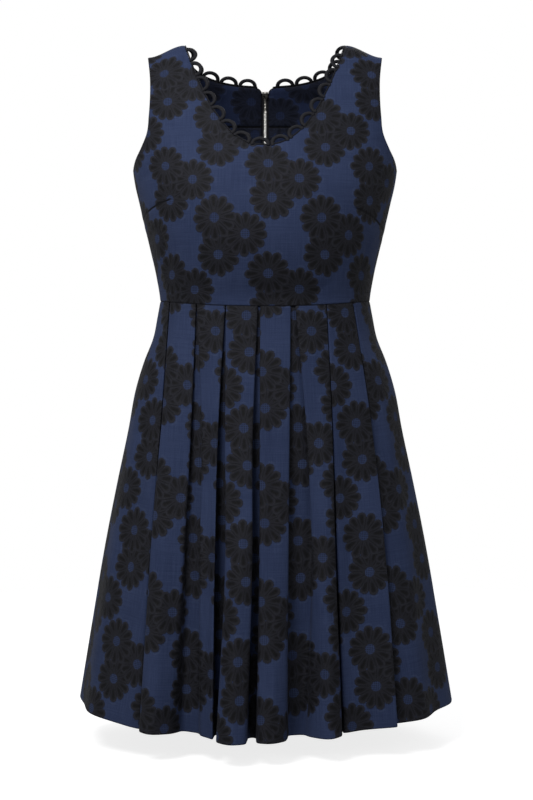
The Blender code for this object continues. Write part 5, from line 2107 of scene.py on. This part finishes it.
@dataclass
class Studio:
    """A pale floor, soft lights and the camera."""

    finishes: Finishes
    floor_gap: float = 0.03
    floor_back: float = 0.5
    camera_place: tuple[float, float, float] = (0.002, -2.4, -0.42)
    view_height: float = 1.0667
    shift_up: float = -0.049
    sensor: float = 36.0

    def build(self) -> None:
        """Set up the floor, the world, the lights and the camera."""
        scene = bpy.context.scene
        scene.view_settings.view_transform = "Standard"
        floor = small_shape("floor", floor_shape)
        floor.data.materials.append(self.finishes.floor)
        for vertex in floor.data.vertices:
            vertex.co += Vector((0.0, self.floor_back, CAD_BOX[0][2] - self.floor_gap))
        self.build_world(scene)
        target = Vector((0.0, 0.0, -0.42))
        for name, place, size, watts in (
            ("key", (-0.7, -1.4, 1.05), 0.9, 35.5), ("fill", (2.0, -2.0, 0.9), 1.8, 9.0),
            ("back", (0.5, 2.4, 1.5), 2.0, 22.0),
        ):
            light = bpy.data.lights.new(name, "AREA")
            light.shape, light.size, light.energy = "DISK", size, watts
            lamp = bpy.data.objects.new(name, light)
            lamp.location = place
            lamp.rotation_euler = (target - Vector(place)).to_track_quat("-Z", "Y").to_euler()
            scene.collection.objects.link(lamp)
        lens = bpy.data.cameras.new("camera")
        lens.lens = self.sensor * abs(self.camera_place[1]) / self.view_height
        lens.sensor_width = self.sensor
        lens.shift_y = self.shift_up
        camera = bpy.data.objects.new("camera", lens)
        camera.location = self.camera_place
        camera.rotation_euler = (math.pi / 2, 0.0, 0.0)
        scene.collection.objects.link(camera)
        scene.camera = camera

    @staticmethod
    def build_world(scene: Scene) -> None:
        """A soft white surround, lit less than it looks."""
        world = bpy.data.worlds.new("studio")
        world.use_nodes = True
        scene.world = world
        g, lit = Graph(world.node_tree), world.node_tree.nodes["Background"]
        lit.inputs["Color"].default_value = (0.97, 0.98, 1.0, 1)
        lit.inputs["Strength"].default_value = 0.34
        seen = g.add("ShaderNodeBackground", (1, 1, 1, 1), 1.0)
        by_camera = g.add("ShaderNodeLightPath").outputs["Is Camera Ray"]
        mix = g.add("ShaderNodeMixShader", by_camera, lit.outputs[0], seen.outputs[0])
        g.feed(world.node_tree.nodes["World Output"].inputs[0], mix.outputs[0])


def main() -> None:
    """Build the dress, its stitching and the studio."""
    logging.basicConfig(level=logging.INFO, format="%(name)s: %(message)s")
    finishes = Finishes()
    bodice, skirt = Bodice(finishes), Skirt(finishes)
    for part in (bodice, NeckFacing(finishes), skirt, NeckLoops(finishes), Zip(finishes)):
        part.build()
    Stitching(finishes).build({**bodice.edges, **skirt.edges})
    Studio(finishes).build()
    bpy.context.view_layer.update()


if __name__ == "__main__":
    main()
